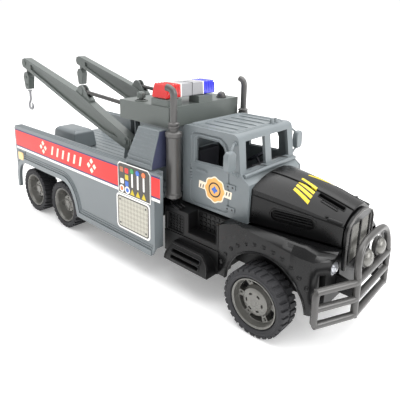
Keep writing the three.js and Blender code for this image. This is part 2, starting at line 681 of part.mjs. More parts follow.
// ---- bull bar -----------------------------------------------------------
function bullBar() {
  const postY = 23.9;
  const wing = [bumperX - 12.2, 49.8];
  const levels = [24.4, 35, 45.6];
  const pieces = [];
  for (const z of levels) {
    pieces.push(bar([bumperX, -postY, z], [bumperX, postY, z], bumperTube));
    for (const hand of [-1, 1]) {
      pieces.push(bar([bumperX, hand * postY, z], [wing[0], hand * wing[1], z], bumperTube));
    }
  }
  // The hoop leans back towards the grille.
  const hoopPoints = [];
  const hoopSteps = 16;
  for (let step = 0; step <= hoopSteps; step += 1) {
    const angle = Math.PI * (step / hoopSteps);
    const across = Math.sign(Math.cos(angle)) * Math.abs(Math.cos(angle)) ** 0.55;
    const rise = Math.sin(angle) ** 0.6;
    hoopPoints.push(new THREE.Vector3(bumperX - 2 * rise, -postY * across, levels[2] + 20.9 * rise));
  }
  pieces.push(tube(new THREE.CatmullRomCurve3(hoopPoints), bumperTube, 24, 10));
  for (const hand of [-1, 1]) {
    pieces.push(bar([bumperX, hand * postY, levels[0] - 1.4], [bumperX, hand * postY, 48], bumperTube));
    pieces.push(bar([wing[0], hand * wing[1], levels[0] - 1.7], [wing[0], hand * wing[1],
      levels[2] + 1.7], bumperTube));
  }
  pieces.push(box(bumperX - 4, bumperX - 1.6, -17, 17, 43.6, 47.9));
  return join(...pieces);
}
add('bull_bar', bullBar(), tubeGrey);
addPair('fog_lamp', turned([
  [0, bumperX - 4.6], [4.6, bumperX - 4.6], [6.2, bumperX - 3.4], [6.2, bumperX - 1.2],
  [5.4, bumperX + 0.8], [3.4, bumperX + 2.2], [0, bumperX + 2.7],
], 'x', [0, -10.2, 54.4], 18), tubeGrey);

// ---- running gear below the cab -----------------------------------------
const innerY = -frameHalfWidth - gap;
// Flat side panel flush with the wing: a shallow vent frame behind and an open bay in front.
const panelRearX = 44;
const panelFrontX = fenderRearX - 0.4;
const panelY = -fenderHalfWidth;
addPair('battery_box', cut(
  box(panelRearX, panelFrontX, panelY, innerY, 40, 58.6),
  box(47.8, 63, -60, panelY + 1.2, 41.6, 54),
  box(68.5, 93.6, -60, panelY + 9.8, 44.5, 60),
), chassisBlack);

// The same panel carries a tread block that leans outwards and has rounded upper corners.
const stepBottomZ = 22.6;
function treadBlock(inset) {
  return mouldedBlock([1, 1, 5], (u, v, w) => {
    const left = 53 + 4.7 * w ** 2 + inset;
    const right = 94.6 - 8.6 * w ** 3 - inset;
    const outerY = -55 + 5 * w ** 1.6 + inset;
    const bottom = inset > 0 ? 10 : stepBottomZ;
    return [left + u * (right - left), outerY + v * (-40 - outerY), bottom + w * (35.6 - inset - bottom)];
  });
}
function sideStep() {
  const panel = box(panelRearX, panelFrontX, panelY, innerY, stepBottomZ, 39.6);
  const slots = [25.4, 29.4].map((z) => box(60, 86, -60, -48, z, z + 2.2));
  return cut(join(panel, treadBlock(0)), treadBlock(wall),
    box(panelRearX + wall, panelFrontX - wall, panelY + wall, innerY - wall, 10, 39.6 - wall), ...slots);
}
addPair('side_step', sideStep(), chassisBlack);

export default truck;
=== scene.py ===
"""Looks of the toy tow truck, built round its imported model.

Lengths are millimetres in the frame shared with the CAD (+X bonnet, +Y left, +Z up) and become metres when a
mesh is made.
"""

import math

import bmesh
import bpy
from mathutils import Matrix, Vector


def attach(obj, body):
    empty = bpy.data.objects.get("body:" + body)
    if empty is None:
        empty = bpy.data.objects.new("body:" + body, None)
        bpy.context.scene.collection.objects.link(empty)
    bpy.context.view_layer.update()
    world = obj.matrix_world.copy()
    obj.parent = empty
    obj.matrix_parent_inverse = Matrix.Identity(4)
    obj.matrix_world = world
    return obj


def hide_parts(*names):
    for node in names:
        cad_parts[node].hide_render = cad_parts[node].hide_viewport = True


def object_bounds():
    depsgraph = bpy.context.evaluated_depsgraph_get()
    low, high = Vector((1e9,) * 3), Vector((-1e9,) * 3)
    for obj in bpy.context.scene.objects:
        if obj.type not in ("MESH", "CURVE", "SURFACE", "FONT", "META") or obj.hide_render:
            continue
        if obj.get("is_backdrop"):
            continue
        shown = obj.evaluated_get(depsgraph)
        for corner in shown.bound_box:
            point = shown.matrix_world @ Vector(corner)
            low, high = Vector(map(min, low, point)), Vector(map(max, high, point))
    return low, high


MM = 0.001
RIGHT, LEFT = -1, 1
SIDES = (("right", RIGHT), ("left", LEFT))

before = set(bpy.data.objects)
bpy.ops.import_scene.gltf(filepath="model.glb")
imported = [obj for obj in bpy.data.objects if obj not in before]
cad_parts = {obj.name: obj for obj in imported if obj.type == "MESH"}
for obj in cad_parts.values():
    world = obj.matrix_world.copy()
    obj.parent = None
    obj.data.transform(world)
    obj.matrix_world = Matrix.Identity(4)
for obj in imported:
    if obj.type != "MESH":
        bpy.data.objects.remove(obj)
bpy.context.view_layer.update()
scene = bpy.context.scene

# ---- dimensions shared with the CAD ----
TYRE_R, RIM_R, TYRE_OUT, TYRE_IN = 22.0, 16.2, 55.0, 39.0
AXLES = {"front": 131.0, "mid": -84.0, "rear": -139.0}
SIDE_Y = 57.5
BOOM_Y = 32.0
PIVOT, TIP, EYE = (-12.0, 94.0), (-178.0, 146.3), (-76.4, 127.7)
STAY_ENTRY = (-13.0, 123.4)
CAB_Y, CAB_REAR = 33.0, 50.5
HOOD_REAR, HOOD_FRONT = 109.5, 167.8
STACK = (48.5, 40.5)
BAR_X, BAR_TUBE = 181.0, 2.1
FOG_LAMP_Y, FOG_LAMP_Z = 10.2, 54.4
HEADLAMP_Y, HEADLAMP_Z = 21.8, 46.8
KNOB_X, KNOB_Y = 5, -33
PANEL_Y = -45.3


def polar(radius, angle):
    """A point at this radius and angle, as two coordinates."""
    return radius * math.cos(angle), radius * math.sin(angle)


# ---- meshes ----
class Shape:
    """Vertices and faces in millimetres, gathered part by part into one mesh."""

    def __init__(self):
        self.verts, self.faces = [], []

    def add(self, verts, faces):
        base = len(self.verts)
        self.verts += [tuple(v) for v in verts]
        self.faces += [tuple(base + i for i in face) for face in faces]
        return self

    def box(self, low, high):
        verts = [(x, y, z) for x in (low[0], high[0]) for y in (low[1], high[1]) for z in (low[2], high[2])]
        return self.add(verts, [(0, 1, 3, 2), (4, 6, 7, 5), (0, 4, 5, 1), (2, 3, 7, 6), (0, 2, 6, 4),
                                (1, 5, 7, 3)])

    def loft(self, rings, caps=True):
        size = len(rings[0])
        faces = [
            (r * size + i, r * size + (i + 1) % size, (r + 1) * size + (i + 1) % size, (r + 1) * size + i)
            for r in range(len(rings) - 1) for i in range(size)
        ]
        if caps:
            faces += [tuple(range(size)), tuple((len(rings) - 1) * size + i for i in range(size))]
        return self.add([p for ring in rings for p in ring], faces)

    def prism(self, outline, axis, low, high):
        """outline holds the two other coordinates in X, Y, Z order."""
        def place(a, b, along):
            point = [a, b]
            point.insert("xyz".index(axis), along)
            return tuple(point)
        return self.loft([[place(a, b, at) for a, b in outline] for at in (low, high)])

    def lathe(self, profile, axis, centre, segments=40, caps=True):
        """profile holds (radius, distance along the axis)."""
        rings = []
        for radius, along in profile:
            ring = []
            for step in range(segments):
                angle = 2 * math.pi * step / segments
                a, b = polar(max(radius, 0.001), angle)
                local = {"x": (along, a, b), "y": (a, along, b), "z": (a, b, along)}[axis]
                ring.append(tuple(c + d for c, d in zip(centre, local)))
            rings.append(ring)
        return self.loft(rings, caps=caps)

    def tube(self, points, radius, sides=12, closed=False):
        path = [Vector(p) for p in points]
        count = len(path)
        rings, normal = [], None
        for i, point in enumerate(path):
            before = path[i - 1] if i or closed else path[0]
            after = path[(i + 1) % count] if i < count - 1 or closed else path[-1]
            tangent = (after - before).normalized()
            if normal is None:
                guide = Vector((0, 0, 1)) if abs(tangent.z) < 0.9 else Vector((0, 1, 0))
                normal = (guide - tangent * guide.dot(tangent)).normalized()
            normal = (normal - tangent * normal.dot(tangent)).normalized()
            other = tangent.cross(normal)
            size = radius(i / (count - 1)) if callable(radius) else radius
            rings.append([
                tuple(point + normal * size * math.cos(2 * math.pi * s / sides)
                      + other * size * math.sin(2 * math.pi * s / sides)) for s in range(sides)])
        if closed:
            return self.loft(rings + [rings[0]], caps=False)
        return self.loft(rings)

    def turned(self, matrix):
        self.verts = [tuple(matrix @ Vector(v)) for v in self.verts]
        return self

    def mirrored(self):
        other = Shape()
        return other.add([(x, -y, z) for x, y, z in self.verts], [tuple(reversed(f)) for f in self.faces])


def fresh_mesh(name, bm):
    bmesh.ops.recalc_face_normals(bm, faces=bm.faces)
    mesh = bpy.data.meshes.new(name)
    bm.verts.ensure_lookup_table()
    mesh.from_pydata([v.co.copy() for v in bm.verts], [], [[v.index for v in f.verts] for f in bm.faces])
    bm.free()
    return mesh


def make(name, shape):
    bm = bmesh.new()
    verts = [bm.verts.new([c * MM for c in v]) for v in shape.verts]
    bm.verts.index_update()
    for face in shape.faces:
        corners = []
        for index in face:
            if verts[index] not in corners:
                corners.append(verts[index])
        if len(corners) > 2:
            bm.faces.new(corners)
    bmesh.ops.remove_doubles(bm, verts=bm.verts, dist=2e-6)
    bm.verts.index_update()
    obj = bpy.data.objects.new(name, fresh_mesh(name, bm))
    scene.collection.objects.link(obj)
    return obj


def adopt(node):
    """A welded copy of a CAD node's mesh, for edges to be rounded and detail cut in."""
    bm = bmesh.new()
    bm.from_mesh(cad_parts[node].data)
    bmesh.ops.remove_doubles(bm, verts=bm.verts, dist=3e-6)
    bmesh.ops.dissolve_limit(bm, angle_limit=0.01, verts=bm.verts, edges=bm.edges)
    bm.verts.index_update()
    obj = bpy.data.objects.new(node + "_looks", fresh_mesh(node, bm))
    scene.collection.objects.link(obj)
    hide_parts(node)
    return obj


def carve(obj, *tools):
    """The tools cut out of obj, and then removed."""
    for tool in tools:
        cut = obj.modifiers.new("cut", "BOOLEAN")
        cut.operation, cut.solver, cut.object = "DIFFERENCE", "MANIFOLD", tool
    bpy.context.view_layer.update()
    solved = bpy.data.meshes.new_from_object(obj.evaluated_get(bpy.context.evaluated_depsgraph_get()))
    obj.modifiers.clear()
    obj.data = solved
    for tool in tools:
        bpy.data.objects.remove(tool)
    return obj


def dress(obj, material, body="chassis", slot=None, round_mm=0.0, segments=2, sharp_deg=38, replaces=(),
          harden=True):
    """Material, rounded edges, smooth shading and the body the piece rides on."""
    obj.data.materials.clear()
    obj.data.materials.append(material)
    obj.data.polygons.foreach_set("use_smooth", [True] * len(obj.data.polygons))
    if round_mm:
        bevel = obj.modifiers.new("edges", "BEVEL")
        bevel.width, bevel.segments = round_mm * MM, segments
        bevel.limit_method, bevel.angle_limit = "ANGLE", math.radians(sharp_deg)
        bevel.harden_normals = harden
    else:
        obj.data.set_sharp_from_angle(angle=math.radians(sharp_deg))
    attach(obj, body)
    if replaces:
        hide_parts(*replaces)
    return obj


def both(name, shape, material, body="chassis", **options):
    """The right-hand piece and its left-hand twin; a body or node name takes the side's suffix."""
    nodes = options.pop("replaces", ())
    for side, hand in SIDES:
        half = shape if hand == RIGHT else shape.mirrored()
        rides = body if body == "chassis" else f"{body}_{side}"
        dress(make(f"{name}_{side}", half), material, rides, replaces=[f"{n}_{side}" for n in nodes],
              **options)


# ---- materials ----
def rgb(red, green, blue):
    """Linear colour from the 0 to 255 values a screen shows."""
    def linear(value):
        value /= 255
        return value / 12.92 if value <= 0.04045 else ((value + 0.055) / 1.055) ** 2.4
    return (linear(red), linear(green), linear(blue), 1.0)


def shaded(colour, factor):
    return tuple(min(1.0, c * factor) for c in colour[:3]) + (1.0,)


def put(node, values):
    """Input values of a shader node, by name or by number."""
    for key, value in values.items():
        node.inputs[key].default_value = value


def plastic(name, colour, rough=0.4, metal=0.0, mottle=0.07, grain=0.25, glow=0.0, coat=0.0, specular=0.5):
    """Moulded plastic: faint flow mottling in colour and gloss, and a fine moulded grain."""
    material = bpy.data.materials.new(name)
    material.use_nodes = True
    nodes, links = material.node_tree.nodes, material.node_tree.links
    shader = nodes["Principled BSDF"]
    put(shader, {"Metallic": metal, "Specular IOR Level": specular, "Coat Weight": coat,
                 "Coat Roughness": 0.12})
    place = nodes.new("ShaderNodeTexCoord")
    flow = nodes.new("ShaderNodeTexNoise")
    put(flow, {"Scale": 55.0, "Detail": 5.0})
    links.new(place.outputs["Object"], flow.inputs["Vector"])
    tint = nodes.new("ShaderNodeMix")
    tint.data_type = "RGBA"
    put(tint, {6: shaded(colour, 1 - mottle), 7: shaded(colour, 1 + mottle)})
    links.new(flow.outputs["Fac"], tint.inputs[0])
    links.new(tint.outputs[2], shader.inputs["Base Color"])
    gloss = nodes.new("ShaderNodeMapRange")
    put(gloss, {"To Min": max(0.03, rough - 0.07), "To Max": rough + 0.07})
    links.new(flow.outputs["Fac"], gloss.inputs["Value"])
    links.new(gloss.outputs["Result"], shader.inputs["Roughness"])
    fine = nodes.new("ShaderNodeTexNoise")
    put(fine, {"Scale": 1400.0, "Detail": 3.0})
    links.new(place.outputs["Object"], fine.inputs["Vector"])
    bump = nodes.new("ShaderNodeBump")
    put(bump, {"Strength": grain, "Distance": 0.00006})
    links.new(fine.outputs["Fac"], bump.inputs["Height"])
    links.new(bump.outputs["Normal"], shader.inputs["Normal"])
    if glow:
        put(shader, {"Emission Color": colour, "Emission Strength": glow})
    return material


def ink(name, red, green, blue, rough=0.35, mottle=0.03):
    """A printed colour, nearly even."""
    return plastic("print_" + name, rgb(red, green, blue), rough, mottle=mottle)


def checker_plate(name, light, dark, pitch_mm):
    """Pressed tread-plate print: a fine slanting checker of two pale tones."""
    material = plastic(name, light, 0.35)
    nodes, links = material.node_tree.nodes, material.node_tree.links
    place = nodes.new("ShaderNodeTexCoord")
    turn = nodes.new("ShaderNodeMapping")
    put(turn, {"Rotation": (0, math.radians(45), 0)})
    links.new(place.outputs["Object"], turn.inputs["Vector"])
    checks = nodes.new("ShaderNodeTexChecker")
    put(checks, {"Color1": light, "Color2": dark, "Scale": 1000.0 / pitch_mm})
    links.new(turn.outputs["Vector"], checks.inputs["Vector"])
    links.new(checks.outputs["Color"], nodes["Principled BSDF"].inputs["Base Color"])
    return material


BODY = plastic("body_grey", rgb(112, 119, 122), 0.34)
MAST = plastic("mast_grey", rgb(88, 94, 91), 0.42)
BLACK = plastic("gloss_black", rgb(11, 11, 12), 0.28, specular=0.3)
FRAME_BLACK = plastic("frame_black", rgb(9, 9, 10), 0.44, specular=0.3)
SILVER = plastic("silver_plastic", rgb(78, 77, 76), 0.30, 0.3)
PALE = plastic("housing_grey", rgb(150, 150, 153), 0.3)
STACK_GREY = plastic("stack_grey", rgb(86, 85, 84), 0.32, 0.35)
HUB = plastic("hub_silver", rgb(112, 111, 107), 0.28, 0.35)
RUBBER = plastic("tyre_rubber", rgb(38, 38, 41), 0.72, mottle=0.15, grain=0.5)
# near-black: painted shade behind the hub faces, inside the exhaust mouth and in the small bonnet slot, and
# also the colour of dark seams between parts
SHADE_AND_SEAM_DARK = plastic("painted_shade_and_seam_dark", rgb(14, 14, 17), 0.6)
NAVY = plastic("navy_shadow", rgb(56, 60, 84), 0.5)
RED_LENS = plastic("red_clear", rgb(196, 20, 20), 0.12, glow=0.05, coat=0.6, grain=0.1)
BLUE_LENS = plastic("blue_clear", rgb(34, 38, 206), 0.12, glow=0.06, coat=0.6, grain=0.1)
LAMP = plastic("lamp_glass", rgb(196, 198, 204), 0.12, 0.5, coat=0.5)
AMBER = plastic("amber_reflector", rgb(248, 200, 120), 0.2, coat=0.5)
SEAT = plastic("interior_black", rgb(24, 26, 34), 0.55)
NYLON = plastic("gear_nylon", rgb(226, 220, 204), 0.5)
STEEL = plastic("steel", rgb(176, 176, 176), 0.3, 0.9)
RED_PRINT = ink("red", 238, 16, 6)
VIOLET = ink("violet", 52, 30, 92, 0.4)
WHITE = ink("white", 244, 242, 238, mottle=0.02)
CREAM = ink("cream", 250, 236, 214, mottle=0.02)
PANEL = ink("panel", 62, 58, 54, mottle=0.04)
INK = ink("ink", 26, 26, 26, 0.4, 0.04)
YELLOW = ink("yellow", 208, 184, 4)
GREEN = ink("green", 60, 150, 84)
BLUE = ink("blue", 60, 110, 200)
ORANGE = ink("orange", 232, 120, 66)
BROWN = ink("brown", 176, 104, 62)
GOLD = ink("gold", 240, 178, 96, mottle=0.04)
PLATE = checker_plate("print_tread_plate", rgb(186, 183, 170), rgb(164, 161, 148), 2.6)


# ---- outlines ----
def arc(centre, radius, start, end, steps):
    """Points of an arc between two angles in degrees."""
    turns = [math.radians(start + (end - start) * s / steps) for s in range(steps + 1)]
    return [(centre[0] + a, centre[1] + b) for a, b in (polar(radius, turn) for turn in turns)]


def rounded(x0, x1, z0, z1, radius, steps=5):
    corners = ((x1 - radius, z1 - radius, 0), (x0 + radius, z1 - radius, 90),
               (x0 + radius, z0 + radius, 180), (x1 - radius, z0 + radius, 270))
    return [p for cx, cz, a in corners for p in arc((cx, cz), radius, a, a + 90, steps)]


def bezier(p0, p1, p2, p3, steps):
    points = []
    for s in range(steps + 1):
        t = s / steps
        k = ((1 - t) ** 3, 3 * t * (1 - t) ** 2, 3 * t * t * (1 - t), t ** 3)
        points.append(tuple(sum(w * p[i] for w, p in zip(k, (p0, p1, p2, p3))) for i in range(2)))
    return points


def sticker(name, outline, y, thick, material):
    """A printed film on the bed's side or the door, y being the face it lies on (positive number)."""
    for side, hand in SIDES:
        low, high = sorted((hand * y, hand * (y + thick)))
        dress(make(f"{name}_{side}", Shape().prism(outline, "y", low, high)), material)


# ---- wheels ----
def tyre_shape(hand):
    inner, outer = TYRE_IN, TYRE_OUT
    middle = (inner + outer) / 2
    base = TYRE_R - 1.0
    half = [(RIM_R + 0.35, 1.6), (RIM_R + 0.9, 0.6), (RIM_R + 2.0, 0.15), (RIM_R + 2.5, 0.0),
            (RIM_R + 3.0, 0.35), (base - 0.6, 0.5), (base, 1.9)]
    profile = [(r, outer - d) for r, d in half] + [(r, inner + d) for r, d in reversed(half)]
    profile.append(profile[0])
    shape = Shape().lathe([(r, hand * y) for r, y in profile], "y", (0, 0, 0), 72, caps=False)
    lugs = 30
    for step in range(lugs):
        for row in (-1, 1):
            angle = 2 * math.pi * (step + (0.5 if row > 0 else 0)) / lugs
            lug = []
            for radius, narrow in ((base - 0.7, 0.0), (TYRE_R - 0.02, 0.22)):
                arc_half = 1.55 - narrow
                near, far = middle + row * 0.9, middle + row * (7.7 - narrow * 2)
                skew = row * 0.05
                ring = []
                for across, tangent in ((near, -arc_half), (near, arc_half), (far, arc_half),
                                        (far, -arc_half)):
                    turn = angle + tangent / radius + skew * (1 if across == far else 0)
                    a, b = polar(radius, turn)
                    ring.append((a, hand * across, b))
                lug.append(ring)
            shape.loft(lug)
    return shape


def arc_slot(radius_in, radius_out, angle, width, y0, y1):
    turns = [angle + width * (s / 6 - 0.5) for s in range(7)]
    inner = [polar(radius_in, turn) for turn in turns]
    outer = [polar(radius_out, turn) for turn in turns]
    low, high = sorted((y0, y1))
    return Shape().prism(inner + outer[::-1], "y", low, high)


def hub_face(name, x, side, hand, front):
    out = TYRE_OUT - 1
    rim = [(14.8, out - 0.6), (15.4, out), (16.0, out), (RIM_R, out - 0.6), (RIM_R, 41.5), (15, 40.6),
           (3, 40.6), (0, 40.6)]
    if front:
        profile = [(0, 52.6), (2.0, 52.5), (2.6, out - 1.2), (6.5, out - 1.6), (8.8, out - 2.6),
                   (9.5, out - 4.4), (10.1, out - 5.2), (13.9, out - 4.6), (14.4, out - 3.8)]
    else:
        profile = [(0, out - 3.4), (3.4, out - 3.6), (4.0, out - 4.6), (7.6, out - 4.8), (8.2, out - 6.6),
                   (9.6, out - 8.6), (12.6, out - 8.4), (13.6, out - 6.6), (14.2, out - 3.0)]
    hub = make(name, Shape().lathe([(r, hand * y) for r, y in profile + rim], "y", (0, 0, 0), 64))
    tools = []
    if front:
        for k in range(6):
            turn = math.radians(60 * k + 90)
            tools.append(make("tool", arc_slot(10.1, 13.7, turn, 0.72, hand * (out - 11), hand * out)))
            tools.append(make("tool", arc_slot(5.0, 6.3, turn + 0.52, 0.42, hand * (out - 2.6), hand * out)))
    else:
        for k in range(8):
            turn = math.radians(45 * k + 20)
            tools.append(make("tool", arc_slot(9.6, 12.6, turn, 0.38, hand * (out - 14), hand * (out - 6))))
    carve(hub, *tools)
    hub.location = (x * MM, 0, TYRE_R * MM)
    extras = Shape()
    for k in range(6):
        turn = 2 * math.pi * (k + (0 if front else 0.5)) / 6
        radius, height = 12.2 if front else 5.6, out - 4.7
        a, b = polar(radius, turn)
        centre = (x + a, 0, TYRE_R + b)
        extras.lathe([(0.9, hand * (height - 0.6)), (0.9, hand * (height + 0.4)),
                      (0.5, hand * (height + 0.8)), (0, hand * (height + 0.9))], "y", centre, 12)
    return hub, extras


for place, axle_x in AXLES.items():
    body = place + "_wheels"
    for side, hand in SIDES:
        tyre = make(f"tyre_tread_{place}_{side}", tyre_shape(hand))
        tyre.location = (axle_x * MM, 0, TYRE_R * MM)
        dress(tyre, RUBBER, body, "tyre", replaces=[f"tyre_{place}_{side}"], sharp_deg=30)
        hub, nuts = hub_face(f"hub_{place}_{side}", axle_x, side, hand, place == "front")
        dress(hub, HUB, body, "hub_silver", sharp_deg=32)
        dress(make(f"hub_nuts_{place}_{side}", nuts), HUB, body, "hub_silver")
        backing = Shape().lathe([(0, hand * 43.5), (14.6, hand * 43.5), (14.6, hand * 44.2),
                                 (0, hand * 44.2)], "y", (axle_x, 0, TYRE_R), 32)
        dress(make(f"hub_shadow_{place}_{side}", backing), SHADE_AND_SEAM_DARK, body)
    shaft = Shape().lathe([(0, -41), (1.6, -41), (2, -40.4), (2, 40.4), (1.6, 41), (0, 41)], "y",
                          (axle_x, 0, TYRE_R), 24)
    dress(make(f"axle_{place}", shaft), STEEL, body, "steel", replaces=[f"wheelset_{place}"])

# ---- carried-over CAD nodes with rounded edges ----
ROUNDED = {
    "chassis_frame": (FRAME_BLACK, "gloss_black", 0.5),
    "friction_motor_case": (FRAME_BLACK, "gloss_black", 0.6),
    "mast_pedestal": (BODY, "body_grey", 0.8), "deck_box": (BODY, "body_grey", 1.2),
    "mast_head": (MAST, "mast_grey", 0.7), "cab_seats": (SEAT, "interior_black", 1.5),
    "dashboard": (SEAT, "interior_black", 1.0), "nose_valance": (FRAME_BLACK, "gloss_black", 0.6),
    "light_bar_housing": (PALE, "silver_plastic", 0.8),
}
for node, (material, slot, width) in ROUNDED.items():
    dress(adopt(node), material, "chassis", slot, width)
for stem, (material, slot, width) in {
    "bed_side": (BODY, "body_grey", 0.7), "fairing": (BODY, "body_grey", 0.7),
    "battery_box": (FRAME_BLACK, "gloss_black", 0.5), "side_step": (FRAME_BLACK, "gloss_black", 0.6),
    "fender": (BLACK, "gloss_black", 1.1),
}.items():
    for side, hand in SIDES:
        dress(adopt(f"{stem}_{side}"), material, "chassis", slot, width, 3, harden=stem != "fender")
PLAIN = {"bed_deck": BODY, "drive_gear": NYLON, "flywheel": STEEL,
         "steering_wheel": SEAT, "boom_pivot_pin_right": MAST, "boom_pivot_pin_left": MAST}
for node, material in PLAIN.items():
    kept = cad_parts[node]
    kept.data.materials.clear()
    kept.data.materials.append(material)

# ---- bed sides: mouldings and prints ----
SKIRT_Z = 21.0


def arch_line(grow):
    """Edge of the opening over the two rear axles, moved outwards by grow."""
    rise = [(-163.2 - grow, SKIRT_Z), (-162.6 - grow, 30)]
    q0, q1, q2 = (-162.6 - grow, 30), (-161 - grow, 49.3 + grow), (-146, 49.3 + grow)
    rise += [tuple((1 - t) ** 2 * a + 2 * t * (1 - t) * b + t * t * c for a, b, c in zip(q0, q1, q2))
             for t in (0.15, 0.3, 0.45, 0.6, 0.8, 1.0)]
    rise += bezier((-77, 49.3 + grow), (-65 + grow, 49.3 + grow), (-59 + grow, 38), (-57 + grow, 29), 12)
    return rise + [(-55 + grow, SKIRT_Z + grow)]


for index, grow in enumerate((6.4, 8.4)):
    line = [p for p in arch_line(grow) if p[0] > -164] + [(44, SKIRT_Z + grow)]
    both(f"arch_bead_{index + 1}", Shape().tube([(x, -SIDE_Y - 0.1, z) for x, z in line], 0.55, 8), BODY)
for index, rail_y in enumerate((-56.2, -54.0, -51.6)):
    rail = [(-166, rail_y, 85.5), (45 if index else 10, rail_y, 85.5)]
    both(f"rail_bead_{index + 1}", Shape().tube(rail, 0.45, 8), BODY)

for label, x0, x1, bottom, top in (("long", -164.5, 5.0, 64.6, 82.4), ("front", 43.6, 52.4, 67.4, 84.0)):
    for band, z0, z1, thick, material in (
            ("white", bottom - 2.2, bottom + 0.1, 0.12, WHITE), ("lower", bottom, bottom + 1.3, 0.15, VIOLET),
            ("red", bottom + 1.2, top - 1.1, 0.12, RED_PRINT), ("upper", top - 1.2, top, 0.15, VIOLET)):
        sticker(f"stripe_{band}_{label}", [(x0, z0), (x1, z0), (x1, z1), (x0, z1)], SIDE_Y - 0.05, thick,
                material)


def diamond(x, z, half):
    return [(x - half, z), (x, z - half), (x + half, z), (x, z + half)]


for centre_x in (-109.0, -30.0):
    for index, (dx, dz) in enumerate(((-4, 0), (4, 0), (0, 4), (0, -4))):
        sticker(f"diamond_{'rear' if centre_x < -60 else 'front'}_{index + 1}",
                diamond(centre_x + dx, 73.6 + dz, 2.5), SIDE_Y, 0.14, CREAM)
# plain slanting dashes stand where the toy carries lettering
for index in range(6):
    x = -95 + index * 9.2
    sticker(f"dash_{index + 1}", [(x, 69.4), (x + 2.6, 69.4), (x + 5.2, 77.8), (x + 2.6, 77.8)],
            SIDE_Y, 0.14, CREAM)

# control panel and tread-plate print
sticker("panel_border", [(5.4, 61), (42.6, 61), (42.6, 83), (40, 86), (7.4, 86), (5.4, 84)], SIDE_Y - 0.05,
        0.15, WHITE)
sticker("panel_face", [(6, 61.8), (42, 61.8), (42, 82.8), (39.6, 85.2), (8, 85.2), (6, 83.4)], SIDE_Y, 0.16,
        PANEL)
SQUARES = ((10, 80.4, BROWN, "brown"), (16, 80.4, RED_PRINT, "red"), (16, 75.2, YELLOW, "yellow"),
           (10.4, 71.2, WHITE, "white"), (16, 70.2, BLUE, "blue"))
for x, z, material, word in SQUARES:
    sticker(f"key_{word}", rounded(x - 2, x + 2, z - 2, z + 2, 0.6, 2), SIDE_Y + 0.1, 0.12, material)
for x, material, word in ((10, ORANGE, "orange"), (16.6, BLUE, "blue")):
    sticker(f"dial_ring_{word}", arc((x, 65.2), 2.9, 0, 345, 23), SIDE_Y + 0.1, 0.12, WHITE)
    sticker(f"dial_face_{word}", arc((x, 65.2), 1.8, 0, 345, 23), SIDE_Y + 0.18, 0.12, material)
for x, material, word in ((22.4, GREEN, "green"), (28.8, BLUE, "blue"), (35.4, ORANGE, "orange")):
    sticker(f"lever_slot_{word}", rounded(x - 0.9, x + 0.9, 68.6, 80, 0.8, 3), SIDE_Y + 0.1, 0.12, WHITE)
    sticker(f"lever_knob_{word}", arc((x, 81.4), 2.0, 0, 345, 23), SIDE_Y + 0.16, 0.3, material)
    sticker(f"lever_mark_{word}", [(x - 2.5, 62.8), (x + 2.5, 62.8), (x, 67.4)], SIDE_Y + 0.1, 0.12, YELLOW)
sticker("tread_border", rounded(2.6, 41.8, 31.6, 60.4, 3.4), SIDE_Y - 0.05, 0.12, WHITE)
sticker("tread_line", rounded(4.0, 40.4, 33.0, 59.0, 2.6), SIDE_Y - 0.05, 0.17, INK)
sticker("tread_face", rounded(4.9, 39.5, 33.9, 58.1, 2.0), SIDE_Y - 0.05, 0.22, PLATE)
for index, (x, z) in enumerate(((7.2, 55.8), (37.2, 55.8), (7.2, 36.2), (37.2, 36.2))):
    sticker(f"tread_dot_{index + 1}", arc((x, z), 0.8, 0, 330, 11), SIDE_Y + 0.1, 0.12, INK)
for side, hand in SIDES:
    edge = Shape().prism(rounded(-162.2, -149.4, 50.2, 60.4, 1.6), "y", *sorted((hand * 57.2, hand * 58.1)))
    dress(make(f"reflector_frame_{side}", edge), BODY, round_mm=0.3)
    lens = Shape().prism(rounded(-161.0, -150.6, 51.3, 59.3, 1.2), "y", *sorted((hand * 57.2, hand * 58.5)))
    dress(make(f"reflector_{side}", lens), AMBER, round_mm=0.35)
    low, high = sorted((hand * 57.3, hand * 57.7))
    dress(make(f"bed_seam_{side}", Shape().box((-147.2, low, 50), (-146.6, high, 61.5))), SHADE_AND_SEAM_DARK)

# ---- fairings ----
def fairing_y(w):
    return -56 + max(0.0, w - 0.15) * 9.5


ribs = Shape()
for step in range(9):
    w = 0.14 + step * 0.105
    z = 85.8 + w * 28
    rear = 13 + 6 * w
    face = fairing_y(w) - 0.1
    ribs.tube([(rear + 0.6, face, z), (40.9, face, z)], 0.42, 8)
both("fairing_ribs", ribs, BODY)
shade = [(41.75, y, z) for y, z in ((-55.2, 86.6), (-41.6, 86.6), (-41.6, 113.0), (-47.6, 113.0),
                                    (-54.6, 91.0))]
both("fairing_front", Shape().loft([shade, [(x + 0.3, y, z) for x, y, z in shade]]), NAVY)

# ---- mast head fittings ----
knob = Shape().lathe([(0, 129.4), (1.9, 129.4), (1.9, 131.4), (3.1, 131.4), (3.2, 131.8), (3.2, 134.4),
                      (2.8, 135.4), (1.8, 136.1), (0, 136.3)], "z", (KNOB_X, KNOB_Y, 0), 32)
for k in range(12):
    a, b = polar(3.1, 2 * math.pi * k / 12)
    knob.tube([(KNOB_X + a, KNOB_Y + b, 131.7), (KNOB_X + a, KNOB_Y + b, 134.3)], 0.35, 6)
dress(make("siren_knob", knob), MAST, "siren_button", "mast_grey", replaces=["siren_button"])
collar = Shape().lathe([(3.7, 128.9), (5.1, 128.9), (5.1, 129.5), (4.7, 129.9), (3.9, 129.9), (3.7, 129.6),
                        (3.7, 128.9)], "z", (KNOB_X, KNOB_Y, 0), 32, caps=False)
dress(make("siren_collar", collar), MAST)
dome = [(0, 129.3), (4.1, 129.3), (4.1, 130.1), (3.7, 130.3)] + [
    (3.6 * math.cos(math.radians(a)), 130.3 + 3.8 * math.sin(math.radians(a))) for a in range(0, 91, 10)]
dress(make("beacon", Shape().lathe(dome, "z", (35.5, 27, 0), 36)), SILVER, slot="silver_plastic",
      replaces=["beacon_dome"])


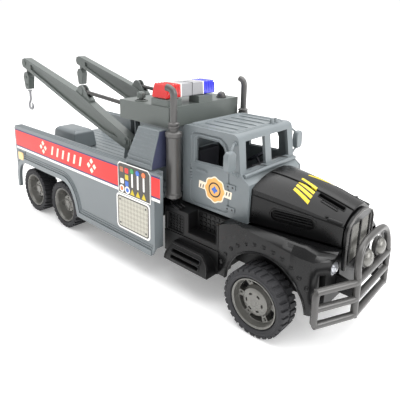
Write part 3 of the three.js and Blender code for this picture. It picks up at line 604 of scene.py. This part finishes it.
def lens_block(y0, y1, slope_low):
    """Tapering lamp lens; the pressed ribs along its faces are made apart from it."""
    rings = []
    for w in (0.0, 0.35, 1.0):
        side = abs(w - 0.4) * 1.6
        tilt = 2.2 * w
        low, high = (y0 + tilt, y1) if slope_low else (y0, y1 - tilt)
        x0, x1, z = 22 + side, 39 - side, 134.4 + w * 10
        rings.append([(x0, low, z), (x1, low, z), (x1, high, z), (x0, high, z)])
    return Shape().loft(rings)


for label, (y0, y1, slope), material in (
        ("red", (-38, -23.3, True), RED_LENS), ("blue", (1.3, 15.5, False), BLUE_LENS)):
    dress(make(f"lens_{label}_shell", lens_block(y0, y1, slope)), material, slot=f"{label}_clear",
          round_mm=0.9, segments=3, replaces=[f"lens_{label}"])
    ridges = Shape()
    for step in range(4):
        y = y0 + 3.4 + step * 2.9
        ridges.tube([(38.2, y, 135.6), (38.9, y, 138.2), (38.3, y, 143.2)], 0.45, 6)
        ridges.tube([(38.0, y, 144.3), (23.0, y, 144.3)], 0.4, 6)
    dress(make(f"lens_{label}_ribs", ridges), material, slot=f"{label}_clear")
trims = Shape()
for y in (-23.1, 1.1):
    trims.loft([[(22.2, at, 134.6), (38.8, at, 134.6), (38.4, at, 144.6), (22.6, at, 144.6)]
                for at in (y - 0.5, y + 0.5)])
dress(make("light_bar_trims", trims), WHITE, round_mm=0.15)
dress(make("light_bar_seam", Shape().box((22.6, -11.2, 134.6), (38.35, -10.8, 144.55))), SHADE_AND_SEAM_DARK)

# ---- booms, stays and hooks ----
for side, hand in SIDES:
    dress(adopt(f"boom_{side}"), MAST, f"boom_{side}", "mast_grey", 0.45)
trim = Shape()
for radius, proud in ((5.4, 0.5), (3.4, 0.9)):
    trim.lathe([(radius - 0.9, -36.0 - proud), (radius, -36.0 - proud), (radius, -35.8),
                (radius - 0.9, -35.8), (radius - 0.9, -36.0 - proud)], "y", (PIVOT[0], 0, PIVOT[1]), 32)
trim.lathe([(0, -36.9), (2.6, -36.9), (3.1, -36.5), (3.1, -35.8), (0, -35.8)], "y", (TIP[0], 0, TIP[1]), 28)
trim.lathe([(2.2, -35.3), (3.4, -35.3), (3.6, -35.0), (3.6, -34.6), (2.2, -34.6), (2.2, -35.3)], "y",
           (EYE[0], 0, EYE[1]), 28)
both("boom_bosses", trim, MAST, "boom", slot="mast_grey")

dx, dz = STAY_ENTRY[0] - EYE[0], STAY_ENTRY[1] - EYE[1]
reach = math.hypot(dx, dz)
thread = [(0, 3.2), (1.2, 3.2), (1.2, 6)]
along = 6.0
while along < reach + 10:
    thread += [(1.25, along), (1.75, along + 0.5), (1.75, along + 0.9), (1.25, along + 1.4)]
    along += 1.7
thread += [(1.2, reach + 12), (0, reach + 12)]
rod = Shape().lathe(thread, "x", (0, 0, 0), 16)
rod.lathe([(1.55, -1.3), (3.5, -1.3), (3.6, -1.1), (3.6, 1.1), (3.5, 1.3), (1.55, 1.3), (1.55, -1.3)], "y",
          (0, 0, 0), 28)
rod.turned(Matrix.Translation((EYE[0], -BOOM_Y, EYE[1])) @ Matrix.Rotation(math.atan2(-dz, dx), 4, "Y"))
both("stay_rod", rod, SILVER, "stay", slot="silver_plastic", replaces=["stay"])

for side, hand in SIDES:
    dress(adopt(f"hook_block_{side}"), MAST, f"hook_{side}", "mast_grey", 0.7, 3)
cheek = Shape()
for z in (-14.5, -22.5):
    cheek.lathe([(0, -35.9), (1.2, -35.9), (1.5, -35.6), (1.5, -35.0), (0, -35.0)], "y",
                (TIP[0], 0, TIP[1] + z), 16)
both("hook_block_rivets", cheek, MAST, "hook", slot="mast_grey")
bend = [(0, -28.1), (0, -37.4)]
for step in range(19):
    a, b = polar(3.9, math.pi * (0.62 + step * 0.0925))
    bend.append((a, b - 44.6))
hook = Shape().tube([(TIP[0] + x, -BOOM_Y, TIP[1] + z) for x, z in bend],
                    lambda t: 1.25 if t < 0.8 else 1.25 - 2.6 * (t - 0.8), 14)
hook.lathe([(1.3, -28.0), (2.2, -28.0), (2.2, -29.4), (1.3, -29.8)], "z", (TIP[0], -BOOM_Y, TIP[1]), 20)
both("hook_bend", hook, PALE, "hook", slot="silver_plastic", replaces=["hook"])

# ---- exhaust stacks ----
stack = [(0, 61.5), (1.6, 61.5), (2.2, 62.2), (5.0, 64.4), (6.0, 64.7), (6.0, 67.3), (5.5, 67.8), (5.4, 68.4),
         (5.4, 109.0), (5.7, 109.5), (6.1, 109.9), (6.1, 112.5), (5.6, 113.0), (4.4, 113.5), (3.4, 113.9),
         (3.4, 115.5), (3.9, 115.8), (4.1, 116.2), (4.1, 117.2), (3.5, 117.7), (3.5, 117.9), (4.1, 118.3),
         (4.1, 119.3), (3.2, 119.8), (2.5, 120.2), (2.5, 137), (0, 137)]
pipes = Shape().lathe(stack, "z", (STACK[0], -STACK[1], 0), 44)
elbow = [(0, 0, 136.4), (0, 0, 138.6), (-0.25, -0.1, 140.2), (-0.9, -0.3, 141.6), (-1.9, -0.6, 142.7),
         (-3.1, -0.95, 143.4), (-4.4, -1.35, 143.8), (-5.4, -1.6, 144.0)]
pipes.tube([(STACK[0] + x, -STACK[1] + y, z) for x, y, z in elbow], 2.48, 24)
both("exhaust", pipes, STACK_GREY, slot="stack_grey", replaces=["exhaust_stack"])
# a near-black disc just inside the pipe's end: painted shade for the hollow of the pipe
mouth = Shape().lathe([(0, 0), (1.7, 0), (1.7, 0.15), (0, 0.15)], "x", (0, 0, 0), 20)
mouth.turned(Matrix.Translation((STACK[0] - 5.42, -STACK[1] - 1.6, 144.0)) @ Matrix.Rotation(math.pi, 4, "Z"))
both("exhaust_mouth", mouth, SHADE_AND_SEAM_DARK)
hoses = Shape()
for index, (dy, drop) in enumerate(((-3.2, 0), (-0.6, 1.2), (2.4, 0.4))):
    run = ((1 + index * 1.4, 0, 61.6 - drop), (3.5 + index, -1.5, 60.6), (7 + index, -2.4, 60.2),
           (11, -2, 59.2))
    hoses.tube([(STACK[0] + x, -STACK[1] + dy + y, z) for x, y, z in run], 0.75, 8)
both("hoses", hoses, FRAME_BLACK)

# ---- cab ----
DOOR = ([(58.6, 110), (58.6, 66)] + arc((62.0, 66.0), 3.4, 180, 270, 5) + arc((90.0, 66.4), 3.4, 270, 360, 5)
        + [(93.3, 94.5), (92.6, 104.6), (90.4, 110.2), (86, 113.4), (63, 113.6)]
        + arc((62.0, 110.2), 3.4, 90, 180, 5))
WINDOW = [(63.4, 93.4), (90.6, 94.2), (90.0, 104.6), (88.0, 108.6), (84.0, 111.2), (66.0, 111.4),
          (63.4, 109.4)]

cab = adopt("cab_shell")
cuts = []
for hand in (RIGHT, LEFT):
    loop = [(x, hand * (CAB_Y + 0.12), z) for x, z in DOOR]
    cuts.append(make("cut", Shape().tube(loop, 0.8, 8, closed=True)))
carve(cab, *cuts)
dress(cab, BODY, slot="body_grey", round_mm=0.9, segments=3, sharp_deg=42)

frame_loop = [(WINDOW[0][0] - 0.9, WINDOW[0][1] - 0.9), (91.8, 93.3), (91.2, 104.9), (89.0, 109.5),
              (84.4, 112.4), (65.4, 112.6), (62.4, 109.8)]
fittings = Shape().tube([(x, -CAB_Y - 0.2, z) for x, z in frame_loop], 0.75, 10, closed=True)
fittings.tube([(x, -CAB_Y + 0.2, z) for x, z in WINDOW], 0.55, 8, closed=True)
both("window_frame", fittings, BODY)
handle = Shape().prism(rounded(64.6, 73.8, 86.3, 88.3, 0.95, 4), "y", -CAB_Y - 1.1, -CAB_Y + 0.1)
handle.prism(rounded(63.8, 74.6, 85.5, 89.1, 1.7, 4), "y", -CAB_Y - 0.35, -CAB_Y + 0.1)
both("door_handle", handle, BODY, round_mm=0.25)
bumps = Shape()
for z in (88.0, 85.6, 83.2, 80.8, 78.6):
    bumps.lathe([(0, -0.9), (0.5, -0.8), (0.95, -0.35), (1.05, 0.1), (0, 0.1)], "y", (58.9, -CAB_Y, z), 14)
both("door_bumps", bumps, BODY)
hinges, screws = Shape(), Shape()
for z in (82.2, 66.4):
    hinges.prism(rounded(91.0, 99.2, z - 1.7, z + 1.7, 0.8, 3), "y", -CAB_Y - 0.8, -CAB_Y + 0.1)
    for x in (93.1, 97.1):
        screws.lathe([(0, -0.95), (0.62, -0.95), (0.72, -0.7), (0, -0.7)], "y", (x, -CAB_Y, z), 12)
both("door_hinges", hinges, BODY, round_mm=0.25)
both("hinge_screws", screws, INK)


BADGE = (81.2, 76.4)


def badge_ring(radius, wave, lobes):
    """A ring round the badge's centre, with its edge in waves."""
    ring = []
    for step in range(48):
        turn = 2 * math.pi * step / 48
        a, b = polar(radius + wave * math.cos(lobes * turn), turn)
        ring.append((BADGE[0] + a, BADGE[1] + b))
    return ring


def cab_print(name, outline, lift, material):
    sticker(name, outline, CAB_Y - 0.05, lift + 0.05, material)


cab_print("badge_ribbon", [(66.4, 74.6), (95.6, 73.2), (96.2, 78.4), (66.8, 80.0)], 0.10, CREAM)
cab_print("badge_edge", badge_ring(9.3, 0.45, 8), 0.14, CREAM)
cab_print("badge_field", badge_ring(8.3, 0.45, 8), 0.18, GOLD)
cab_print("badge_ring", badge_ring(5.4, 0.0, 1), 0.22, INK)
cab_print("badge_disc", badge_ring(4.4, 0.0, 1), 0.26, GOLD)
cab_print("badge_heart", badge_ring(2.2, 0.5, 4), 0.30, BLUE)
for index, x in enumerate((67.6, 91.0, 93.4, 70.0)):
    cab_print(f"badge_tick_{index + 1}", [(x, 75.2), (x + 0.8, 75.2), (x + 1.4, 77.8), (x + 0.6, 77.8)], 0.16,
              INK)

roof = Shape()
for inset, height in ((2.4, 0.45), (4.6, 0.35)):
    ring = rounded(CAB_REAR + 1.4 + inset, 97.0 - inset, -CAB_Y + 1.2 + inset, CAB_Y - 1.2 - inset, 3.4, 5)
    roof.tube([(x, y, 117.9) for x, y in ring], height + 0.2, 8, closed=True)
for y in (-20, -10, 0, 10, 20):
    roof.tube([(60, y, 117.8), (62, y, 118.1), (88, y, 118.1), (90, y, 117.8)], 0.7, 8)
for y in (14, 19):
    roof.lathe([(0, 117.8), (1.7, 117.8), (1.5, 120.6), (0.9, 121.6), (0, 121.8)], "z", (94, y, 0), 14)
dress(make("roof_mouldings", roof), BODY)
sill = Shape().tube([(104.6, -31.5, 91.4), (105.6, -16, 91.9), (105.9, 0, 92.1), (105.6, 16, 91.9),
                            (104.6, 31.5, 91.4)], 1.35, 14)
dress(make("windscreen_sill", sill), BODY)
wipers = Shape()
for y0, y1 in ((-6, -22), (22, 6)):
    wipers.tube([(104.2, y0, 93.3), (103.4, (y0 + y1) / 2, 95.4), (103.0, y1, 96.6)], 0.35, 8)
dress(make("wipers", wipers), FRAME_BLACK)
corner = Shape().tube([(101.6, -32.4, 92.6), (105.4, -32.4, 88.6), (108.8, -32.3, 86.5), (109.0, -32.3, 74),
                       (109.0, -32.3, 62)], 0.75, 10)
both("cab_front_bead", corner, BODY)

mirror = Shape().prism([(-46.4, 98.2), (-44.4, 95.8), (-39.6, 95.8), (-37.6, 98.2), (-37.6, 107.0),
                        (-39.6, 109.4), (-44.4, 109.4), (-46.4, 107.0)], "x", 98.0, 102.4)
both("mirror_head", mirror, BODY, slot="body_grey", round_mm=1.2, segments=4, sharp_deg=50,
     replaces=["mirror"])
arms = Shape().tube([(99.4, -33.2, 91.6), (99.6, -34.6, 92.0), (99.8, -38.4, 94.6), (100.2, -41.6, 97.6)],
                    0.85, 10)
arms.tube([(97.2, -33.2, 112.4), (97.6, -35.0, 112.2), (98.8, -38.6, 109.8), (99.8, -40.6, 106.6)], 0.8, 10)
arms.lathe([(0, -34.3), (1.5, -34.2), (1.8, -33.2), (0, -33.2)], "y", (99.4, 0, 91.6), 16)
arms.lathe([(0, -34.3), (1.4, -34.2), (1.6, -33.2), (0, -33.2)], "y", (97.2, 0, 112.4), 16)
both("mirror_arms", arms, BODY)

# ---- bonnet ----
def bonnet_top(x, y):
    u = (x - HOOD_REAR) / (HOOD_FRONT - HOOD_REAR)
    half = 30.6 - 10.2 * u - 1.2
    edge, crown = 83.6 - 9.6 * u ** 1.2, 91.2 - 10.4 * u ** 1.8
    return edge + (crown - edge) * (1 - min(1.0, abs(y) / half) ** 2.4)


def bonnet_side(x):
    return 30.6 - 10.2 * (x - HOOD_REAR) / (HOOD_FRONT - HOOD_REAR) - 0.9


def bonnet_patch(corners, lift, depth, cols, rows):
    """A sheet on the bonnet between four (x, y) corners, following its crown."""
    (ax, ay), (bx, by), (cx, cy), (dx_, dy_) = corners
    rings = []
    for r in range(rows + 1):
        v = r / rows
        top, bottom = [], []
        for c in range(cols + 1):
            u = c / cols
            x = (ax * (1 - u) + bx * u) * (1 - v) + (dx_ * (1 - u) + cx * u) * v
            y = (ay * (1 - u) + by * u) * (1 - v) + (dy_ * (1 - u) + cy * u) * v
            z = bonnet_top(x, y)
            top.append((x, y, z + lift))
            bottom.append((x, y, z - depth))
        rings.append(top + bottom[::-1])
    return Shape().loft(rings)


hood = adopt("hood")
cuts = []
for hand in (RIGHT, LEFT):
    line = [(x, hand * (bonnet_side(x) + 0.15), 80.2 - 0.125 * (x - HOOD_REAR))
            for x in range(108, 172, 7)]
    cuts.append(make("cut", Shape().tube(line, 0.55, 8)))
    recess = [(x, z + 70.2 - (x - 123.5) * 0.02) for x, z in rounded(123.5, 151.5, -3.6, 3.6, 3.5, 6)]
    cuts.append(make("cut", Shape().loft([[(x, hand * (bonnet_side(x) + depth), z) for x, z in recess]
                                          for depth in (-1.1, 1.5)])))
carve(hood, *cuts)
dress(hood, BLACK, slot="gloss_black", round_mm=0.6, sharp_deg=28)
slats = Shape()
for z in (68.6, 70.4, 72.2):
    slats.tube([(x, -bonnet_side(x) + 0.35, z) for x in (125, 133, 141, 149.5)], 0.5, 8)
rim = [(x, -bonnet_side(x) - 0.05, z + 70.2) for x, z in rounded(122.6, 152.4, -4.5, 4.5, 4.3, 7)]
slats.tube(rim, 0.45, 8, closed=True)
both("bonnet_louvre", slats, BLACK)
spine = bonnet_patch([(110.2, -9.0), (168.4, -7.6), (168.4, 7.6), (110.2, 9.0)], 0.85, 0.4, 14, 12)
dress(make("bonnet_spine", spine), BLACK, round_mm=0.5, sharp_deg=50)
for side, hand in SIDES:
    for index, (x0, x1, y0, y1) in enumerate(((147.2, 163.6, 9.2, 12.0), (150.5, 160.5, 13.2, 14.4))):
        outline = rounded(x0 - 0.5, x1 + 0.5, y0 - 0.2, y1 + 0.2, 0.6, 3)
        rim = [(x, hand * y, bonnet_top(x, y) + 0.1) for x, y in outline]
        dress(make(f"slot_rim_{index + 1}_{side}", Shape().tube(rim, 0.32, 6, closed=True)), BLACK)
    # the small slot is a near-black sheet on the bonnet: painted shade for the slot's depth
    slot = [(151, hand * 13.4), (160, hand * 13.4), (160, hand * 14.2), (151, hand * 14.2)]
    dress(make(f"slot_minor_{side}", bonnet_patch(slot, 0.06, 0.2, 4, 2)), SHADE_AND_SEAM_DARK)
    for index in range(4):
        x = 131.2 + index * 0.3
        y0, y1 = hand * (3.4 + index * 3.7), hand * (5.8 + index * 3.7)
        shift = hand * 3.4
        bar = bonnet_patch([(x, y0), (x + 12.5, y0 + shift), (x + 12.5, y1 + shift), (x, y1)],
                           0.95 if index == 0 else 0.12, 0.3, 8, 3)
        dress(make(f"hazard_bar_{index + 1}_{side}", bar), YELLOW)
latch = Shape()
for hand in (RIGHT, LEFT):
    latch.tube([(x, hand * (bonnet_side(x) + 0.3), z) for x, z in ((158.5, 76.2), (167.2, 75.0))], 1.1, 10)
    latch.lathe([(0, -0.6), (0.9, -0.5), (1.2, 0.4), (0, 0.4)], "z",
                (158, hand * (bonnet_side(158) + 0.2), 77.6), 12)
dress(make("bonnet_latches", latch), BLACK, round_mm=0.2)

# ---- fenders and nose ----
BEAD_R, LIP_R = 34.6, 29.3


def round_axle(radius, degrees):
    """A point (x, z) at this radius round the front axle."""
    a, b = polar(radius, math.radians(degrees))
    return AXLES["front"] + a, TYRE_R + b


def fender_face(x):
    """Outer face of the wing (negative side), rounded in plan towards the nose."""
    along = max(0.0, (x - 152.0) / 17.0)
    return -33.0 - 12.3 * math.sqrt(max(0.0, 1 - along * along))


beads = Shape()
for degrees in (160, 147, 135, 124, 112.5, 101.5, 90, 79, 68, 56.5, 45, 33):
    x, z = round_axle(BEAD_R, degrees)
    beads.lathe([(0, -0.9), (0.7, -0.8), (1.35, -0.3), (1.55, 0.1), (0, 0.1)], "y", (x, fender_face(x), z),
                16)
lip = []
for degrees in range(177, 2, -5):
    x, z = round_axle(LIP_R, degrees)
    lip.append((x, fender_face(x) - 0.05, z))
beads.tube(lip, 0.6, 8)
both("fender_beads", beads, BLACK)
both("wheel_liner", Shape().box((103, -35.0, 33), (160, -34.2, 57)), FRAME_BLACK)

grille = Shape()
for hand in (RIGHT, LEFT):
    y0, y1 = sorted((hand * 1.3, hand * 13.5))
    z0, z1, x = 48.1, 71.9, 169.7
    step = 1.25
    count = int(((y1 - y0) + (z1 - z0)) / step) + 1
    for k in range(1, count):
        reach = k * step
        start = (y0 + min(reach, y1 - y0), z0 + max(0, reach - (y1 - y0)))
        end = (y0 + max(0, reach - (z1 - z0)), z0 + min(reach, z1 - z0))
        for flip in (False, True):
            a = (y0 + y1 - start[0], start[1]) if flip else start
            b = (y0 + y1 - end[0], end[1]) if flip else end
            if math.dist(a, b) > 0.5:
                grille.tube([(x + 0.2 * flip, a[0], a[1]), (x + 0.2 * flip, b[0], b[1])], 0.28, 5)
dress(make("grille_mesh", grille), HUB)
surround = adopt("radiator_shell")
dress(surround, BLACK, slot="gloss_black", round_mm=0.5)
edge = [(170.7, y, z) for y, z in ((-18.4, 46), (-19, 58), (-19.0, 70), (-16.5, 74), (-9, 77.2), (0, 78.8),
                                   (9, 77.2), (16.5, 74), (19.0, 70), (19, 58), (18.4, 46))]
shell_trim = Shape().tube(edge, 0.7, 10)
for y in (-14.2, 0.0, 14.2):
    shell_trim.tube([(170.8, y, 47.6), (170.8, y, 72.6)], 0.4, 8)
dress(make("grille_trim", shell_trim), STACK_GREY)

for side, hand in SIDES:
    y, z = hand * HEADLAMP_Y, HEADLAMP_Z
    rings = []
    for x, half, corner_r in ((161.2, 4.5, 1.4), (165.2, 4.5, 1.4), (165.8, 4.3, 1.3), (165.8, 3.9, 1.2),
                              (164.8, 3.6, 1.1)):
        rings.append([(x, y + a, z + b) for a, b in rounded(-half, half, -half, half, corner_r, 4)])
    dress(make(f"headlamp_bezel_{side}", Shape().loft(rings)), HUB, slot="hub_silver",
          replaces=[f"headlamp_{side}"])
    rings = []
    for x, half in ((164.6, 3.7), (165.6, 3.65), (166.6, 3.2), (167.3, 2.1), (167.6, 0.6)):
        rings.append([(x, y + a, z + b) for a, b in rounded(-half, half, -half, half, half * 0.35, 4)])
    glass = Shape().loft(rings)
    for offset in (-2.4, -1.2, 0, 1.2, 2.4):
        low_x, mid_x = 166.8 - abs(offset) * 0.22, 167.3 - abs(offset) * 0.3
        glass.tube([(low_x, y + offset, z - 2.8), (mid_x, y + offset, z), (low_x, y + offset, z + 2.8)], 0.28,
                   6)
    dress(make(f"headlamp_glass_{side}", glass), LAMP, slot="hub_silver")

# ---- bull bar ----
POST, WING = 23.9, (168.8, 49.8)
LEVELS = (24.4, 35.0, 45.6)
bars = Shape()


def bumper_run(z):
    """One level of tube: wing post, corner, across the nose and back, with soft corners."""
    points = []
    for hand in (RIGHT, LEFT):
        ends = [(x, hand * y, z) for x, y in (
            WING, (BAR_X - 1.0, POST + 3.0), (BAR_X - 0.2, POST + 0.8), (BAR_X, POST - 1.4))]
        points += ends if hand == RIGHT else ends[::-1]
    return points


for z in LEVELS:
    bars.tube(bumper_run(z), BAR_TUBE, 16)
for hand in (RIGHT, LEFT):
    bars.tube([(BAR_X, hand * POST, LEVELS[0] - 1.4), (BAR_X, hand * POST, 48)], BAR_TUBE, 16)
    wing = []
    for z, turn_in in ((LEVELS[0], 1), (LEVELS[2], -1)):
        end = [(WING[0] + 2.5, hand * (WING[1] - 5.4), z),
               (WING[0] + 0.6, hand * (WING[1] - 1.6), z + 0.05 * turn_in),
               (WING[0], hand * WING[1], z + 1.9 * turn_in)]
        wing += end if turn_in > 0 else [(WING[0], hand * WING[1], LEVELS[1])] + end[::-1]
    bars.tube(wing, BAR_TUBE, 16)
hoop = []
for step in range(41):
    angle = math.pi * step / 40
    across = math.copysign(abs(math.cos(angle)) ** 0.55, math.cos(angle))
    rise = max(0.0, math.sin(angle)) ** 0.6
    hoop.append((BAR_X - 2 * rise, -POST * across, LEVELS[2] + 20.9 * rise))
bars.tube(hoop, BAR_TUBE, 16)
bars.box((177, -17, 43.6), (179.4, 17, 47.9))
dress(make("bull_bar_tubes", bars), SILVER, slot="silver_plastic", replaces=["bull_bar"], sharp_deg=50)
for side, hand in SIDES:
    lamp = Shape().lathe([(0, 176.4), (4.4, 176.4), (6.1, 177.6), (6.2, 178.6), (6.2, 179.8), (5.8, 180.2),
                          (5.6, 180.2), (0, 180.2)], "x", (0, hand * FOG_LAMP_Y, FOG_LAMP_Z), 36)
    dress(make(f"fog_lamp_bowl_{side}", lamp), SILVER, slot="silver_plastic", replaces=[f"fog_lamp_{side}"])
    rings = []
    for x, size in ((180.0, 5.5), (181.0, 5.2), (182.2, 4.1), (183.1, 2.2), (183.5, 0.4)):
        ring = []
        for s in range(36):
            angle = 2 * math.pi * s / 36
            a, b = polar(size * (1 - 0.05 * math.cos(3 * angle)), angle)
            ring.append((x, hand * FOG_LAMP_Y + a, FOG_LAMP_Z + b))
        rings.append(ring)
    dome = Shape().loft(rings)
    for k in range(3):
        spoke = []
        for x, radius in ((180.4, 5.3), (181.4, 4.8), (182.4, 3.6), (183.2, 1.9)):
            a, b = polar(radius, 2 * math.pi * k / 3 + 0.52)
            spoke.append((x + 0.1, hand * FOG_LAMP_Y + a, FOG_LAMP_Z + b))
        dome.tube(spoke, 0.3, 6)
    dress(make(f"fog_lamp_dome_{side}", dome), HUB, slot="silver_plastic")

# ---- running gear below the cab ----
vents = Shape()
for x0, x1, z0, z1, back, cols, rows in ((47.8, 63.0, 41.6, 54.0, -44.1, 5, 6),
                                         (69.2, 92.9, 45.2, 58.3, -35.5, 6, 4)):
    wide, high = (x1 - x0) / cols, (z1 - z0) / rows
    for c in range(cols):
        for r in range(rows):
            cell = [(x0 + (c + 0.5) * wide + a, z0 + (r + 0.5) * high + b)
                    for a, b in rounded(-wide * 0.36, wide * 0.36, -high * 0.34, high * 0.34, 0.3, 2)]
            vents.loft([[(x, back + 0.1, z) for x, z in cell], [(x, back - 0.55, z) for x, z in cell]])
both("panel_vents", vents, FRAME_BLACK)
frames = Shape()
frames.tube([(x, PANEL_Y, z) for x, z in rounded(47.2, 63.6, 41.0, 54.6, 0.8, 3)], 0.4, 8, closed=True)
frames.tube([(68.1, PANEL_Y, 58.4), (68.1, PANEL_Y, 44.1), (94.0, PANEL_Y, 44.1), (94.0, PANEL_Y, 58.4)],
            0.35, 8)
frames.tube([(45.4, PANEL_Y, 41), (45.4, PANEL_Y, 57.6)], 0.5, 8)
both("panel_frames", frames, FRAME_BLACK)


def tread_face(z):
    """Outer face of the tread block, leaning out towards the bottom."""
    return -55.0 + 5.0 * max(0.0, (z - 22.6) / 13.0) ** 1.6


steps = Shape()
for z0 in (25.4, 29.4):
    edge = [(x, tread_face(z) - 0.1, z) for x, z in rounded(59.4, 86.6, z0 - 0.5, z0 + 2.7, 1.2, 4)]
    steps.tube(edge, 0.5, 8, closed=True)
crown = [(54.0 + 4.6 * t * t, 23.4 + 11.4 * t) for t in (0, 0.3, 0.6, 0.85, 1.0)]
crown += [(94.0 - 8.6 * t ** 3, 23.4 + 11.4 * t) for t in (1.0, 0.93, 0.85, 0.72, 0.55, 0.3, 0.0)]
steps.tube([(x, tread_face(z) - 0.1, z) for x, z in crown], 0.55, 8)
both("step_edges", steps, BLACK)

# ---- studio ----
FLOOR = 40        # half the floor's side, in metres
floor_mesh = bpy.data.meshes.new("floor")
floor_mesh.from_pydata([(-FLOOR, -FLOOR, 0), (FLOOR, -FLOOR, 0), (FLOOR, FLOOR, 0), (-FLOOR, FLOOR, 0)], [],
                       [(0, 1, 2, 3)])
floor = bpy.data.objects.new("floor", floor_mesh)
scene.collection.objects.link(floor)
floor_mesh.materials.append(plastic("floor_white", (0.95, 0.95, 0.95, 1.0), 0.8, mottle=0.005, grain=0.01,
                                    glow=0.22))
floor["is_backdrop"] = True

world = bpy.data.worlds.new("studio")
world.use_nodes = True
nodes, links = world.node_tree.nodes, world.node_tree.links
sky = nodes["Background"]
put(sky, {"Color": (1.0, 1.0, 1.0, 1.0)})
# the sky is brightest over the far left rear and a little dimmer behind the camera
facing = nodes.new("ShaderNodeVectorMath")
facing.operation = "DOT_PRODUCT"
put(facing, {1: (-0.55, 0.75, 0.35)})
fall = nodes.new("ShaderNodeMapRange")
put(fall, {"From Min": -0.9, "From Max": 0.3, "To Min": 0.70, "To Max": 1.02})
around = nodes.new("ShaderNodeTexCoord")
links.new(around.outputs["Generated"], facing.inputs[0])
links.new(facing.outputs["Value"], fall.inputs["Value"])
links.new(fall.outputs["Result"], sky.inputs["Strength"])
scene.world = world
scene.view_settings.view_transform = "Standard"


def area_light(name, place, size, watts):
    """A round soft light turned towards the middle of the truck."""
    data = bpy.data.lights.new(name, "AREA")
    data.shape, data.size, data.energy = "DISK", size, watts
    lamp = bpy.data.objects.new(name, data)
    lamp.location = place
    middle = Vector((0.0, 0.0, 0.06))
    lamp.rotation_euler = (middle - Vector(place)).to_track_quat("-Z", "Y").to_euler()
    scene.collection.objects.link(lamp)


area_light("key", (-0.05, 0.2, 1.25), 2.0, 24.0)
area_light("side", (-0.75, -0.75, 0.55), 0.5, 0.2)
area_light("nose", (1.0, 0.15, 0.6), 0.6, 6.0)

# ---- camera ----
CAMERA_AT = (0.256, -0.243, 0.1824)
YAW, PITCH, ROLL = (math.radians(a) for a in (42.02, 14.53, 1.02))
forward = Vector((-math.sin(YAW) * math.cos(PITCH), math.cos(YAW) * math.cos(PITCH), -math.sin(PITCH)))
level = Vector((math.cos(YAW), math.sin(YAW), 0))
upright = level.cross(forward)
across = level * math.cos(ROLL) + upright * math.sin(ROLL)
above = -level * math.sin(ROLL) + upright * math.cos(ROLL)
turn = Matrix((across, above, -forward)).transposed()
camera_data = bpy.data.cameras.new("camera")
camera_data.lens, camera_data.sensor_width = 38.09, 36.0
camera_data.shift_x, camera_data.shift_y = 0.0, -0.15
camera_data.clip_start = 0.01
camera = bpy.data.objects.new("camera", camera_data)
camera.matrix_world = Matrix.Translation(CAMERA_AT) @ turn.to_4x4()
scene.collection.objects.link(camera)
scene.camera = camera

low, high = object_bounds()
